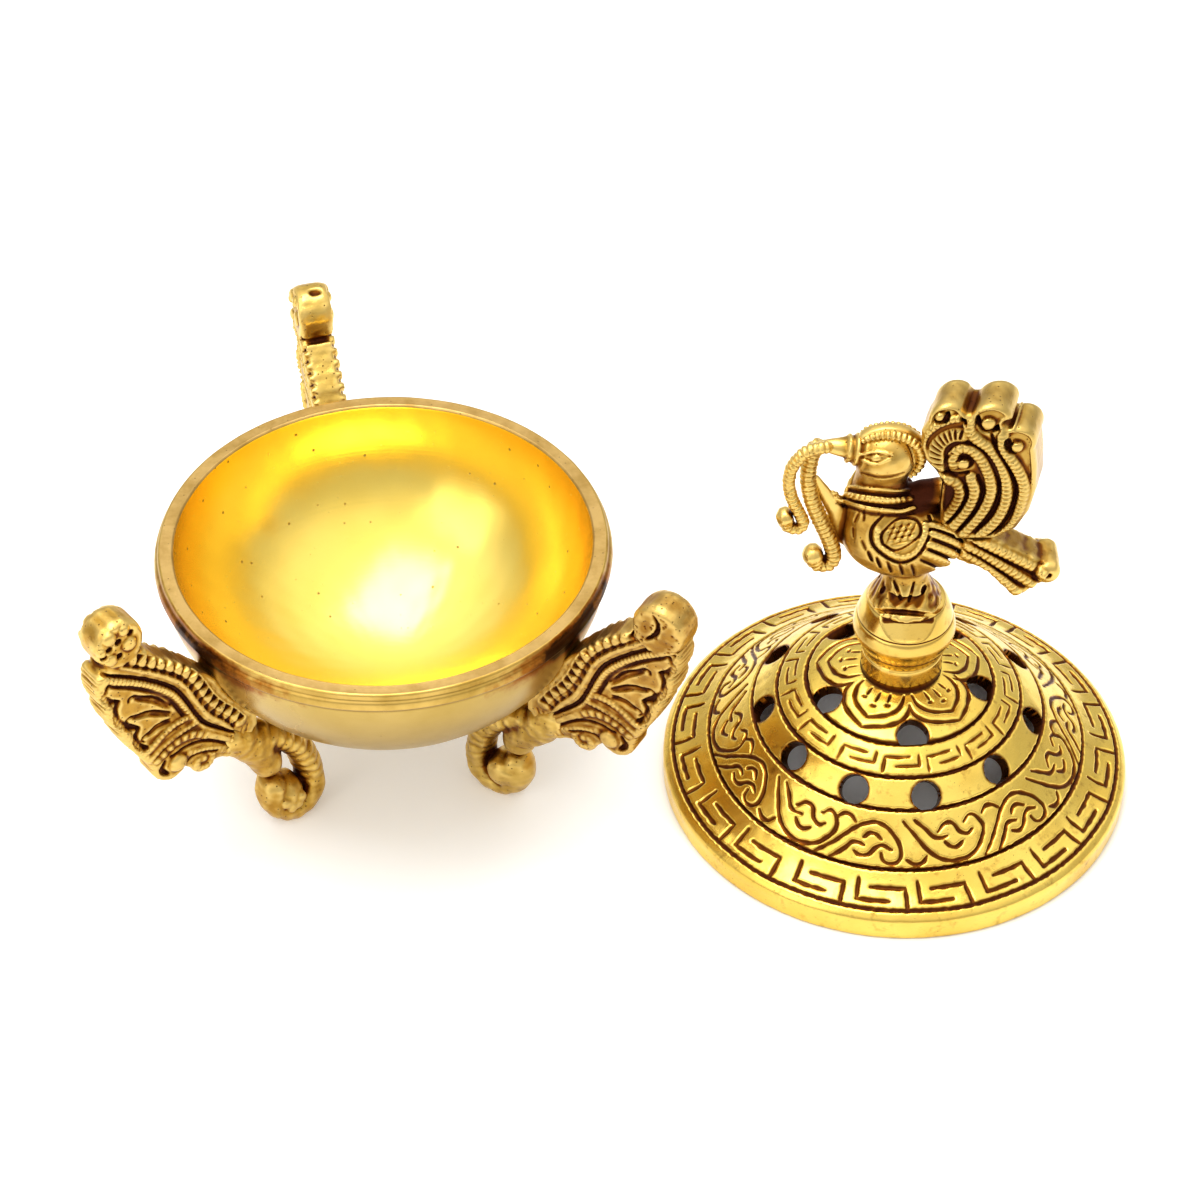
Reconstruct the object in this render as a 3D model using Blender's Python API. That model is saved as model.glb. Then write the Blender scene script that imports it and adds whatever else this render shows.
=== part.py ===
"""Footed brass table censer: an open bowl on three scrolled legs, with its pierced domed lid
and peacock finial standing beside it.

Every length below is in millimetres and becomes metres when a mesh is made.
The frame is +Z up, with the origin on the table under the middle of the whole set.
"""
import math

import bmesh
import bpy
from mathutils import Matrix, Vector

MM = 0.001

# ---------------------------------------------------------------- driving dimensions (mm)
GAP = 0.3                       # clearance left between two pieces that touch

BOWL_AXIS = (-45.3, -5.4)       # where the bowl stands
LID_AXIS = (52.7, -13.4)        # where the lid stands

BOWL_RIM_Z = 52.9               # top of the rim above the table
BOWL_RIM_OUTER_R = 41.9
BOWL_RIM_INNER_R = 39.2
BOWL_BAND_R = 42.95             # the raised band under the rim
BOWL_BAND_DROP = 3.2
BOWL_BELLY_R = 42.5
BOWL_BELLY_DEPTH = 36.5
BOWL_BAND_STEP = 0.9            # height of the undercut that carries the band into the belly
BOWL_WALL = 2.9
BOWL_FLOOR_R = 8.0              # flat spot inside, where the charcoal sits
BOWL_SEGMENTS = 44

# The three legs are cast and set by hand, so each differs a little from its neighbours.
# azimuth: degrees about the bowl; sideways: of the wing's middle plane; curl: x, z and radius
# of the upper curl; foot: distance of the foot's ring from the bowl's axis; lean: sideways, of
# the foot at the table.
LEGS = {
    "left": {"azimuth": 218.8, "sideways": 0.4, "curl": (59.7, 63.6, 5.0),
             "foot": 26.8, "lean": 3.3},
    "right": {"azimuth": 329.7, "sideways": -0.2, "curl": (60.8, 60.4, 5.4),
              "foot": 25.0, "lean": 0.0},
    "rear": {"azimuth": 105.5, "sideways": 0.4, "curl": (60.0, 62.2, 5.2),
             "foot": 25.4, "lean": -0.4},
}
LEG_THICK = 6.0
CURL_WIDTH = 6.6
LEG_POCKET_DEPTH = 0.9          # of the sunk shell panel on each face of a wing
BEAD = (52.2, 28.4)             # round bead in the large lobe under the wing
BEAD_R = 2.4
NECK = (36.2, 24.2)             # where the foot is brazed to the wing
STUB_R = 4.1
STUB_AXIS = (0.75, 0.0, 0.66)
FOOT_RING_R = 4.5
FOOT_TUBE_R = 2.9
FOOT_TAPER = 0.12               # the tube thins by this share towards its end
FOOT_FLAT = 0.35                # the ring is ground off flat by this much to stand on
FOOT_RING_Z = FOOT_RING_R + FOOT_TUBE_R * (1.0 - FOOT_TAPER) - FOOT_FLAT
FOOT_BALL_R = 3.7

LID_R = 45.0
LID_SKIRT_INNER_R = 42.6        # drops over the bowl's rim
LID_SKIRT_H = 4.4
LID_WALL = 2.5
LID_SEAT_R = 8.6                # flat top that carries the collar
LID_TOP_Z = 27.8
LID_SEGMENTS = 48
STUD_HOLE_R = 2.8
DRILL_LENGTH = 12.0

# Smoke holes drilled by hand square to the dome: pitch radius, height, tilt in degrees, hole
# radius and the angles about the axis in degrees from the -Y side.
OUTER_HOLES = (26.1, 18.9, 40.0, 2.8, (-150, -118, -84, -53, -22, 8, 42, 77, 115, 147, 178))
INNER_HOLES = (15.9, 25.2, 25.0, 3.0, (-139, -65, 5, 77, 140))

COLLAR_R = 7.7
COLLAR_TOP_Z = 33.2
COLLAR_CHAMFER = 0.6

PEDESTAL_FOOT_Z = COLLAR_TOP_Z + GAP
PEDESTAL_TOP_Z = 50.5
SCREW_R = 2.4
SCREW_TOP_Z = 44.0
SCREW_HEAD_R = 4.6
SCREW_HEAD_H = 2.6
SCREW_CHAMFER = 0.5
SCREW_SLOT = (1.2, 1.1)         # width and depth of the screwdriver slot
WASHER_R = 6.2
WASHER_H = 1.0

BODY_CENTRE = (-1.5, 61.5)
BODY_SEMI = (11.2, 7.6, 8.4)
HEAD_CENTRE = (-5.8, 80.6)
HEAD_SEMI = (5.6, 4.7, 5.2)
SHIN_TOP_Z = 55.5               # the bird's legs end inside its body
TAIL_THICK = 9.0                # the fan, from side to side
TRAIN_THICK = 8.0


# ---------------------------------------------------------------- helpers
def clear_scene():
    for obj in list(bpy.data.objects):
        bpy.data.objects.remove(obj, do_unlink=True)


def brass(name, colour, roughness):
    material = bpy.data.materials.new(name)
    material.use_nodes = True
    shader = material.node_tree.nodes["Principled BSDF"]
    shader.inputs["Base Color"].default_value = (*colour, 1.0)
    shader.inputs["Metallic"].default_value = 1.0
    shader.inputs["Roughness"].default_value = roughness
    material.diffuse_color = (*colour, 1.0)
    return material


def polar(radius, degrees, centre=(0.0, 0.0)):
    angle = math.radians(degrees)
    return (centre[0] + radius * math.cos(angle), centre[1] + radius * math.sin(angle))


def arc(centre, radius, start, end, steps):
    """Points from start to end degrees, both included."""
    return [polar(radius, start + (end - start) * i / steps, centre) for i in range(steps + 1)]


def add_object(name, mesh, material, origin):
    """origin is (x, y) of the vertical axis that the piece was modelled about."""
    obj = bpy.data.objects.new(name, mesh)
    bpy.context.collection.objects.link(obj)
    obj.location = (origin[0] * MM, origin[1] * MM, 0.0)
    mesh.materials.clear()
    mesh.materials.append(material)
    return obj


def to_mesh(name, bm, sharp_degrees=35.0):
    bmesh.ops.recalc_face_normals(bm, faces=bm.faces)
    bmesh.ops.scale(bm, vec=(MM, MM, MM), verts=bm.verts)
    mesh = bpy.data.meshes.new(name)
    bm.to_mesh(mesh)
    bm.free()
    mesh.shade_smooth()
    mesh.set_sharp_from_angle(angle=math.radians(sharp_degrees))
    return mesh


def turned(profile, segments):
    """Revolves a closed outline of (radius, height) points about +Z."""
    bm = bmesh.new()
    rings = []
    for radius, height in profile:
        if radius < 1e-6:
            rings.append([bm.verts.new((0.0, 0.0, height))])
            continue
        ring = [bm.verts.new((*polar(radius, 360.0 * k / segments), height)) for k in range(segments)]
        rings.append(ring)
    for lower, upper in zip(rings, rings[1:] + rings[:1]):
        if len(lower) == 1 and len(upper) == 1:
            continue
        for k in range(segments):
            n = (k + 1) % segments
            corners = [lower[k % len(lower)], lower[n % len(lower)],
                       upper[n % len(upper)], upper[k % len(upper)]]
            face = [v for i, v in enumerate(corners) if v not in corners[:i]]
            bm.faces.new(face)
    return bm


def plate(outline, thickness, bevel=0.0):
    """Extrudes an outline of (x, z) points evenly to both sides of the XZ plane."""
    bm = bmesh.new()
    face = bm.faces.new([bm.verts.new((x, -thickness / 2, z)) for x, z in outline])
    pulled = bmesh.ops.extrude_face_region(bm, geom=[face])["geom"]
    moved = [item for item in pulled if isinstance(item, bmesh.types.BMVert)]
    bmesh.ops.translate(bm, vec=(0.0, thickness, 0.0), verts=moved)
    if bevel:
        rims = [e for e in bm.edges if abs(e.verts[0].co.y - e.verts[1].co.y) < 1e-6]
        bmesh.ops.bevel(bm, geom=rims, offset=bevel, segments=1, affect="EDGES")
    return bm


def ellipsoid(centre, semi, segments=20, rings=12):
    bm = bmesh.new()
    bmesh.ops.create_uvsphere(bm, u_segments=segments, v_segments=rings, radius=1.0)
    bmesh.ops.transform(bm, matrix=Matrix.Translation(centre) @ Matrix.Diagonal((*semi, 1.0)),
                        verts=bm.verts)
    return bm


def smooth_path(points, per_span):
    """Catmull-Rom curve through (x, y, z) points."""
    vectors = [Vector(p) for p in points]
    padded = [2 * vectors[0] - vectors[1]] + vectors + [2 * vectors[-1] - vectors[-2]]
    path = []
    for a, b, c, d in zip(padded, padded[1:], padded[2:], padded[3:]):
        for step in range(per_span):
            t = step / per_span
            path.append(0.5 * (2 * b + (c - a) * t + (2 * a - 5 * b + 4 * c - d) * t ** 2
                               + (3 * b - a - 3 * c + d) * t ** 3))
    return path + [vectors[-1]]


def strand(path, radii, sides=8, side_axis=Vector((0.0, 1.0, 0.0)), depth_scale=1.0):
    """A round or oval rod along a path that stays near a plane square to side_axis."""
    bm = bmesh.new()
    rings = []
    last = len(path) - 1
    for i, point in enumerate(path):
        ahead = (path[min(i + 1, last)] - path[max(i - 1, 0)]).normalized()
        across = side_axis.cross(ahead).normalized()
        depth = ahead.cross(across).normalized()
        radius = radii(i / last)
        ring = []
        for k in range(sides):
            u, v = polar(radius, 360.0 * (k + 0.5) / sides)
            ring.append(bm.verts.new(point + across * u + depth * v * depth_scale))
        rings.append(ring)
    for lower, upper in zip(rings, rings[1:]):
        for k in range(sides):
            n = (k + 1) % sides
            bm.faces.new((lower[k], lower[n], upper[n], upper[k]))
    bm.faces.new(rings[0][::-1])
    bm.faces.new(rings[-1])
    return bm


def fused(name, shapes, operation="UNION"):
    """Joins (or cuts) closed shapes one after another into one closed mesh."""
    base = bpy.data.objects.new(name, to_mesh(name, shapes[0]))
    bpy.context.collection.objects.link(base)
    guides = []
    for number, shape in enumerate(shapes[1:]):
        guide = bpy.data.objects.new(f"{name}_guide_{number}", to_mesh(f"{name}_guide", shape))
        guide.hide_render = True
        guide.display_type = "WIRE"
        bpy.context.collection.objects.link(guide)
        modifier = base.modifiers.new(f"{operation}_{number}", "BOOLEAN")
        modifier.operation = operation
        modifier.solver = "EXACT"
        modifier.object = guide
        guides.append(guide)
    bpy.context.view_layer.update()
    result = base.evaluated_get(bpy.context.evaluated_depsgraph_get())
    mesh = bpy.data.meshes.new_from_object(result)
    mesh.name = name
    for obj in [base, *guides]:
        bpy.data.objects.remove(obj, do_unlink=True)
    return mesh


def cut(name, mesh, shapes):
    """Cuts closed shapes out of a finished mesh."""
    bm = bmesh.new()
    bm.from_mesh(mesh)
    bmesh.ops.scale(bm, vec=(1 / MM, 1 / MM, 1 / MM), verts=bm.verts)
    return fused(name, [bm, *shapes], "DIFFERENCE")


def cylinder(centre, axis, radius, length, sides):
    """A closed cylinder centred on a point, along an axis."""
    bm = bmesh.new()
    turn = Vector((0.0, 0.0, 1.0)).rotation_difference(Vector(axis)).to_matrix().to_4x4()
    bmesh.ops.create_cone(bm, cap_ends=True, segments=sides, radius1=radius, radius2=radius,
                          depth=length, matrix=Matrix.Translation(centre) @ turn)
    return bm


def box(low, high):
    bm = bmesh.new()
    bmesh.ops.create_cube(bm, size=1.0)
    size = Vector(high) - Vector(low)
    middle = (Vector(high) + Vector(low)) / 2
    bmesh.ops.transform(bm, matrix=Matrix.Translation(middle) @ Matrix.Diagonal((*size, 1.0)),
                        verts=bm.verts)
    return bm


# ---------------------------------------------------------------- bowl
def belly_radius(height, shrink=0.0):
    """Outside radius of the bowl's belly at a height; shrink moves inwards to the inner wall."""
    level = (BOWL_RIM_Z - height) / (BOWL_BELLY_DEPTH - shrink)
    return (BOWL_BELLY_R - shrink) * math.sqrt(max(0.0, 1.0 - level * level))


def belly_points(shrink, flat_radius, steps):
    """The belly's profile from under the rim down to the edge of the flat floor."""
    depth = BOWL_BELLY_DEPTH - shrink
    radius = BOWL_BELLY_R - shrink
    start = math.asin((BOWL_BAND_DROP + BOWL_BAND_STEP) / depth)
    end = math.acos(flat_radius / radius)
    return [(radius * math.cos(start + (end - start) * i / steps),
             BOWL_RIM_Z - depth * math.sin(start + (end - start) * i / steps))
            for i in range(steps + 1)]


def make_bowl(material):
    outside = belly_points(0.0, BOWL_FLOOR_R, 10)
    inside = belly_points(BOWL_WALL, BOWL_FLOOR_R, 9)
    band_low = BOWL_RIM_Z - BOWL_BAND_DROP
    profile = [(0.0, outside[-1][1])] + outside[::-1]
    profile += [(BOWL_BAND_R, band_low), (BOWL_RIM_OUTER_R, BOWL_RIM_Z),
                (BOWL_RIM_INNER_R, BOWL_RIM_Z)]
    profile += inside + [(0.0, inside[-1][1])]
    return add_object("bowl", to_mesh("bowl", turned(profile, BOWL_SEGMENTS)), material, BOWL_AXIS)


# ---------------------------------------------------------------- legs
def bracket_outline(curl):
    """The wing's outline in its own plane: x is the distance from the bowl's axis."""
    x, z, radius = curl
    wall = [(belly_radius(height) + 1.5 * GAP, height) for height in (28.6, 32.5, 36.5, 40.5, 44.0)]
    spine = [(45.0, 48.2), (48.6, 52.2), (52.5, 55.6), (x - radius + 0.5, z - 3.4)]
    roll = arc((x, z), radius, 172.0, -8.0, 14)
    outer_edge = [(65.3, 56.4), (65.6, 51.8), (63.8, 45.8), (61.1, 40.0), (58.7, 33.8), (57.0, 30.2)]
    large_lobe = arc(BEAD, 3.5, -5.0, -140.0, 6)
    small_lobe = arc((45.4, 25.2), 2.5, -10.0, -150.0, 5)
    neck = [(41.4, 23.6), (38.4, 21.8)]
    return wall + spine + roll + outer_edge + large_lobe + small_lobe + neck


def pocket_outline():
    """The sunk shell panel on each face of the wing."""
    back = [(46.6, 36.6), (48.0, 41.2), (50.6, 46.4), (54.4, 50.6), (59.0, 53.8), (62.4, 55.2)]
    front = [(63.2, 51.8), (61.6, 48.6), (62.4, 45.2), (60.4, 41.2), (58.4, 38.6), (56.6, 35.2)]
    return back + front + [(51.6, 37.4)]


def make_bracket_mesh(name, curl):
    x, z, radius = curl
    wing = plate(bracket_outline(curl), LEG_THICK, bevel=0.5)
    drum = cylinder((x, 0.0, z), (0, 1, 0), radius, CURL_WIDTH, 20)
    bead = ellipsoid((BEAD[0], 0.0, BEAD[1]), (BEAD_R, LEG_THICK / 2 + 0.6, BEAD_R), 12, 8)
    solid = fused(name, [wing, drum, bead])
    pockets = []
    for side in (-1, 1):
        pocket = plate(pocket_outline(), LEG_POCKET_DEPTH * 2)
        bmesh.ops.translate(pocket, vec=(0.0, side * LEG_THICK / 2, 0.0), verts=pocket.verts)
        pockets.append(pocket)
    return cut(name, solid, pockets)


def make_foot_mesh(name, ring_x, lean):
    centre = (ring_x, FOOT_RING_Z)
    neck_end = Vector((NECK[0], 0.0, NECK[1])) - Vector(STUB_AXIS).normalized() * (GAP + 0.25)
    stub_end = Vector((ring_x - 1.9, 0.0, FOOT_RING_Z + FOOT_RING_R - 0.7))
    middle = (neck_end + stub_end) / 2
    along = neck_end - stub_end
    stub = cylinder(middle, along.normalized(), STUB_R, along.length, 16)
    ring_path = [Vector((x, 0.0, z)) for x, z in arc(centre, FOOT_RING_R, 100.0, 390.0, 18)]
    ring = strand(ring_path, lambda t: FOOT_TUBE_R * (1.0 - FOOT_TAPER * t), sides=10, depth_scale=1.25)
    ball_centre = (ring_x + 1.2, 0.0, FOOT_RING_Z - 1.3)
    ball = ellipsoid(ball_centre, (FOOT_BALL_R, FOOT_BALL_R, FOOT_BALL_R), 12, 8)
    ground = box((10.0, -10.0, -6.0), (50.0, 10.0, 0.0))
    mesh = cut(name, fused(name, [stub, ring, ball]), [ground])
    for vertex in mesh.vertices:
        vertex.co.y += lean * MM * (1.0 - vertex.co.z / MM / NECK[1])
    return mesh


def make_legs(material):
    for side, leg in LEGS.items():
        turn = Matrix.Rotation(math.radians(leg["azimuth"]), 4, "Z")
        shift = Matrix.Translation((0.0, leg["sideways"] * MM, 0.0))
        bracket = f"leg_{side}_bracket"
        foot = f"leg_{side}_foot"
        for name, mesh in ((bracket, make_bracket_mesh(bracket, leg["curl"])),
                           (foot, make_foot_mesh(foot, leg["foot"], leg["lean"]))):
            obj = add_object(name, mesh, material, BOWL_AXIS)
            obj.matrix_world = Matrix.Translation(obj.location) @ turn @ shift


# ---------------------------------------------------------------- lid
def lid_outside():
    """The dome's outer profile, from the skirt's foot up to the flat seat."""
    skirt = [(LID_R - 0.4, 0.0), (LID_R, 0.5), (LID_R, LID_SKIRT_H), (44.3, 5.1)]
    shoulder = [(43.2, 5.8), (39.8, 7.3), (36.3, 9.6), (32.4, 13.1)]
    dome = [(28.15, 17.1), (23.45, 21.1), (17.95, 24.4), (13.2, 26.3), (LID_SEAT_R, LID_TOP_Z)]
    return skirt + shoulder + dome


def lid_inside():
    """The hollow under the dome, from the seat's underside down to the skirt's foot."""
    dome = [(LID_SEAT_R, LID_TOP_Z - LID_WALL), (16.8, 22.2), (22.0, 19.1), (26.6, 15.2),
            (31.0, 11.0), (35.2, 7.4), (39.4, 4.9)]
    return dome + [(LID_SKIRT_INNER_R, 3.6), (LID_SKIRT_INNER_R, 0.0)]


def make_lid(material):
    profile = lid_outside() + [(STUD_HOLE_R, LID_TOP_Z), (STUD_HOLE_R, LID_TOP_Z - LID_WALL)]
    profile += lid_inside()
    dome = to_mesh("lid_dome", turned(profile, LID_SEGMENTS))
    drills = []
    for pitch, height, tilt, radius, angles in (OUTER_HOLES, INNER_HOLES):
        for angle in angles:
            x, y = polar(pitch, angle - 90.0)
            slope = math.radians(tilt)
            outward = Vector((x, y, 0.0)).normalized() * math.sin(slope)
            drills.append(cylinder((x, y, height), outward + Vector((0, 0, math.cos(slope))),
                                   radius, DRILL_LENGTH, 10))
    return add_object("lid_dome", cut("lid_dome", dome, drills), material, LID_AXIS)


def make_lid_fittings(material):
    foot = LID_TOP_Z + GAP
    collar = [(STUD_HOLE_R, foot), (COLLAR_R, foot), (COLLAR_R, COLLAR_TOP_Z - COLLAR_CHAMFER),
              (COLLAR_R - COLLAR_CHAMFER, COLLAR_TOP_Z), (STUD_HOLE_R, COLLAR_TOP_Z)]
    add_object("lid_collar", to_mesh("lid_collar", turned(collar, 32)), material, LID_AXIS)

    washer_top = LID_TOP_Z - LID_WALL - GAP
    washer_foot = washer_top - WASHER_H
    washer = [(STUD_HOLE_R, washer_foot), (WASHER_R, washer_foot), (WASHER_R, washer_top),
              (STUD_HOLE_R, washer_top)]
    add_object("finial_washer", to_mesh("finial_washer", turned(washer, 28)), material, LID_AXIS)

    head_top = washer_foot - GAP
    head_foot = head_top - SCREW_HEAD_H
    screw = [(0.0, head_foot), (SCREW_HEAD_R - SCREW_CHAMFER, head_foot),
             (SCREW_HEAD_R, head_foot + SCREW_CHAMFER), (SCREW_HEAD_R, head_top),
             (SCREW_R, head_top), (SCREW_R, SCREW_TOP_Z - SCREW_CHAMFER),
             (SCREW_R - SCREW_CHAMFER, SCREW_TOP_Z), (0.0, SCREW_TOP_Z)]
    slot_width, slot_depth = SCREW_SLOT
    past = 1.0
    slot = box((-SCREW_HEAD_R - past, -slot_width / 2, head_foot - past),
               (SCREW_HEAD_R + past, slot_width / 2, head_foot + slot_depth))
    mesh = cut("finial_screw", to_mesh("finial_screw", turned(screw, 24)), [slot])
    add_object("finial_screw", mesh, material, LID_AXIS)


# ---------------------------------------------------------------- finial
def make_pedestal(material):
    bore = SCREW_R + GAP
    bell = [(8.0, PEDESTAL_FOOT_Z), (8.4, 35.2), (8.1, 36.2), (8.9, 37.2), (9.4, 38.3), (9.2, 39.4),
            (8.9, 39.8), (8.9, 41.0), (8.2, 43.6), (7.2, 46.0), (6.4, 47.4), (5.2, PEDESTAL_TOP_Z)]
    profile = [(bore, PEDESTAL_FOOT_Z)] + bell
    profile += [(0.0, PEDESTAL_TOP_Z), (0.0, SCREW_TOP_Z + GAP), (bore, SCREW_TOP_Z + GAP)]
    add_object("peacock_pedestal", to_mesh("peacock_pedestal", turned(profile, 32)), material,
               LID_AXIS)


def make_body(material):
    egg = ellipsoid((BODY_CENTRE[0], 0.0, BODY_CENTRE[1]), BODY_SEMI, 24, 14)
    sole = PEDESTAL_TOP_Z + GAP
    legs = cylinder((-0.3, 0.0, (sole + SHIN_TOP_Z) / 2), (0, 0, 1), 3.6, SHIN_TOP_Z - sole, 14)
    neck_path = smooth_path([(-6.2, 0, 64.0), (-6.8, 0, 69.0), (-6.4, 0, 74.0), (-5.8, 0, 79.0)], 3)
    neck = strand(neck_path, lambda t: 6.6 - 2.2 * t, sides=14, depth_scale=0.8)
    head = ellipsoid((HEAD_CENTRE[0], 0.0, HEAD_CENTRE[1]), HEAD_SEMI, 18, 12)
    beak_path = [Vector((x, 0.0, z)) for x, z in
                 ((-8.5, 81.2), (-11.2, 81.8), (-13.0, 82.1), (-15.0, 82.4), (-16.9, 82.6))]
    beak = strand(beak_path, lambda t: 3.7 - 2.3 * t, sides=12)
    mesh = fused("peacock_body", [egg, legs, neck, head, beak])
    add_object("peacock_body", mesh, material, LID_AXIS)


def make_crest(material):
    lift = 1.95
    rim = [(HEAD_CENTRE[0] + (HEAD_SEMI[0] + lift) * math.cos(math.radians(a)), 0.0,
            HEAD_CENTRE[1] + (HEAD_SEMI[2] + lift) * math.sin(math.radians(a)))
           for a in range(124, -30, -14)]
    bm = strand(smooth_path(rim, 2), lambda t: 1.1 + 0.25 * math.sin(math.pi * t), sides=8)
    add_object("peacock_crest", to_mesh("peacock_crest", bm), material, LID_AXIS)


def make_garlands(material):
    drop = [(-17.9, 83.6), (-20.4, 82.6), (-22.6, 79.4), (-23.2, 75.4), (-22.4, 71.4)]
    hook = [(-20.9, 67.8), (-20.2, 65.6), (-21.2, 64.4), (-23.0, 65.0), (-23.5, 67.2)]
    front = smooth_path([(x, -1.8, z) for x, z in drop + hook], 3)
    bm = strand(front, lambda t: 1.05 if t < 0.8 else 1.05 + 2.5 * (t - 0.8), sides=8)
    add_object("garland_front", to_mesh("garland_front", bm), material, LID_AXIS)

    rear = smooth_path([(-18.5, 1.6, 80.6), (-19.3, 1.0, 78.4), (-19.6, 0.0, 74.8),
                        (-18.8, -0.8, 70.6), (-17.0, -1.6, 66.0), (-15.2, -2.2, 61.8),
                        (-14.4, -2.6, 58.6), (-15.2, -2.8, 56.8), (-17.2, -2.8, 56.8),
                        (-18.2, -2.8, 58.8)], 3)
    bm = strand(rear, lambda t: 1.45, sides=8)
    add_object("garland_rear", to_mesh("garland_rear", bm), material, LID_AXIS)


def beside_body(degrees):
    """A point just clear of the body's outline, seen from the side."""
    angle = math.radians(degrees)
    return (BODY_CENTRE[0] + (BODY_SEMI[0] + 1.5 * GAP) * math.cos(angle),
            BODY_CENTRE[1] + (BODY_SEMI[2] + 1.5 * GAP) * math.sin(angle))


def make_tail(material):
    lobes = arc((5.5, 91.4), 2.8, 180.0, 20.0, 8) + arc((12.4, 90.2), 4.0, 150.0, 10.0, 8)
    lobes += arc((18.1, 85.3), 3.5, 95.0, -20.0, 7)
    back_edge = [(22.3, 80.0), (22.6, 75.0), (21.6, 70.0), (19.6, 66.2), (16.2, 64.0)]
    root = [beside_body(degrees) for degrees in (16.0, 30.0, 44.0)]
    front_edge = [(5.0, 72.0), (4.6, 76.0), (6.4, 78.8), (4.8, 80.8), (3.2, 83.6), (2.8, 87.6)]
    fan = plate(lobes + back_edge + root + front_edge, TAIL_THICK, bevel=0.7)
    add_object("tail_fan", to_mesh("tail_fan", fan), material, LID_AXIS)

    top = [beside_body(6.0), (14.6, 62.6), (18.2, 60.4), (24.0, 57.0)]
    roll = arc((25.4, 54.8), 2.4, 100.0, -60.0, 7)
    bottom = [(24.0, 51.6), (21.4, 49.4), (19.6, 48.4), (17.6, 50.6), (14.2, 55.0)]
    train = plate(top + roll + bottom + [beside_body(-24.0), beside_body(-9.0)],
                  TRAIN_THICK, bevel=0.6)
    add_object("tail_train", to_mesh("tail_train", train), material, LID_AXIS)


# ---------------------------------------------------------------- build
def build():
    clear_scene()
    polished = brass("polished_brass", (0.86, 0.63, 0.22), 0.22)
    satin = brass("satin_brass", (0.80, 0.62, 0.30), 0.34)
    cast = brass("cast_brass", (0.62, 0.44, 0.16), 0.42)
    plain = brass("plain_brass", (0.70, 0.52, 0.24), 0.40)
    make_bowl(satin)
    make_legs(cast)
    make_lid(polished)
    make_lid_fittings(plain)
    make_pedestal(polished)
    make_body(cast)
    make_crest(cast)
    make_garlands(cast)
    make_tail(cast)


build()
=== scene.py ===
"""The looks of a footed brass table censer: an open bowl on three cast legs, and its pierced,
engraved lid with a peacock finial standing beside it.

Shapes are worked out in millimetres about the bowl's and the lid's own axes, which are read
from the frame, and become metres when a mesh is made.
"""
import math
from dataclasses import dataclass

import bpy
import numpy as np
import openvdb
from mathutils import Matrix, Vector


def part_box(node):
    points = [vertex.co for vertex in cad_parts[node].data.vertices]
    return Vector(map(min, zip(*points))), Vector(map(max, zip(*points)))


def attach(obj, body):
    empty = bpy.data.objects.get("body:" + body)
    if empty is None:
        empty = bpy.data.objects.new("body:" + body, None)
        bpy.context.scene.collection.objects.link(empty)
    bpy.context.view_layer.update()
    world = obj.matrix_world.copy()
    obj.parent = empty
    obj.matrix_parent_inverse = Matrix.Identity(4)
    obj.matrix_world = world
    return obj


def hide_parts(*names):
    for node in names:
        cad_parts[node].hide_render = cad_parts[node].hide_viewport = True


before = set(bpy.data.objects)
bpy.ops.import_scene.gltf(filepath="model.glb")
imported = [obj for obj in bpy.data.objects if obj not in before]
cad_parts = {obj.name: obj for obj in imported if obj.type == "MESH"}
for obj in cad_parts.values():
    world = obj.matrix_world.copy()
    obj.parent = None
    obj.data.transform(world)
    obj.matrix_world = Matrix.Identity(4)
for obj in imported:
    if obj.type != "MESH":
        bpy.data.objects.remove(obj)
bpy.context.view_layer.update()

MM = 0.001
SEED = 7
WAVE_SPREAD = (0.7, 1.4)        # lengths of the noises' waves, as shares of the size asked for


def centre_mm(node):
    """The middle of a node in plan, in millimetres."""
    low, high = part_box(node)
    return ((low[0] + high[0]) / 2 / MM, (low[1] + high[1]) / 2 / MM)


BOWL_AXIS = centre_mm("bowl")
LID_AXIS = centre_mm("lid_dome")
BOWL_RIM_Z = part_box("bowl")[1][2] / MM
LID_TOP_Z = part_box("lid_dome")[1][2] / MM


# ================================================================ meshes
def make_piece(name, points, faces, material, body, nodes, origin=(0.0, 0.0), turn=0.0,
               attributes=None, sharp=75.0):
    """Makes one visible piece. points are in mm about origin, turned by degrees about Z."""
    points = np.asarray(points, dtype=float)
    angle = math.radians(turn)
    placed = points.copy()
    placed[:, 0] = points[:, 0] * math.cos(angle) - points[:, 1] * math.sin(angle) + origin[0]
    placed[:, 1] = points[:, 0] * math.sin(angle) + points[:, 1] * math.cos(angle) + origin[1]
    mesh = bpy.data.meshes.new(name)
    mesh.from_pydata((placed * MM).tolist(), [], [list(map(int, f)) for f in faces])
    mesh.validate()
    mesh.shade_smooth()
    mesh.set_sharp_from_angle(angle=math.radians(sharp))
    for key, values in (attributes or {}).items():
        layer = mesh.attributes.new(key, "FLOAT", "POINT")
        layer.data.foreach_set("value", np.asarray(values, dtype=np.float32))
    piece = bpy.data.objects.new(name, mesh)
    bpy.context.collection.objects.link(piece)
    for one in material if isinstance(material, list) else [material]:
        mesh.materials.append(one)
    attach(piece, body)
    if nodes:
        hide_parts(*nodes)
    return piece


def ring_grid(rows, columns, keep=None):
    """Quads of a closed band: rows wrap round its section, columns wrap round its axis."""
    row, column = np.meshgrid(np.arange(rows), np.arange(columns), indexing="ij")
    next_row = (row + 1) % rows
    next_column = (column + 1) % columns
    quads = np.stack([row * columns + column, row * columns + next_column,
                      next_row * columns + next_column, next_row * columns + column], axis=-1)
    if keep is not None:
        return quads[keep]
    return quads.reshape(-1, 4)


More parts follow.
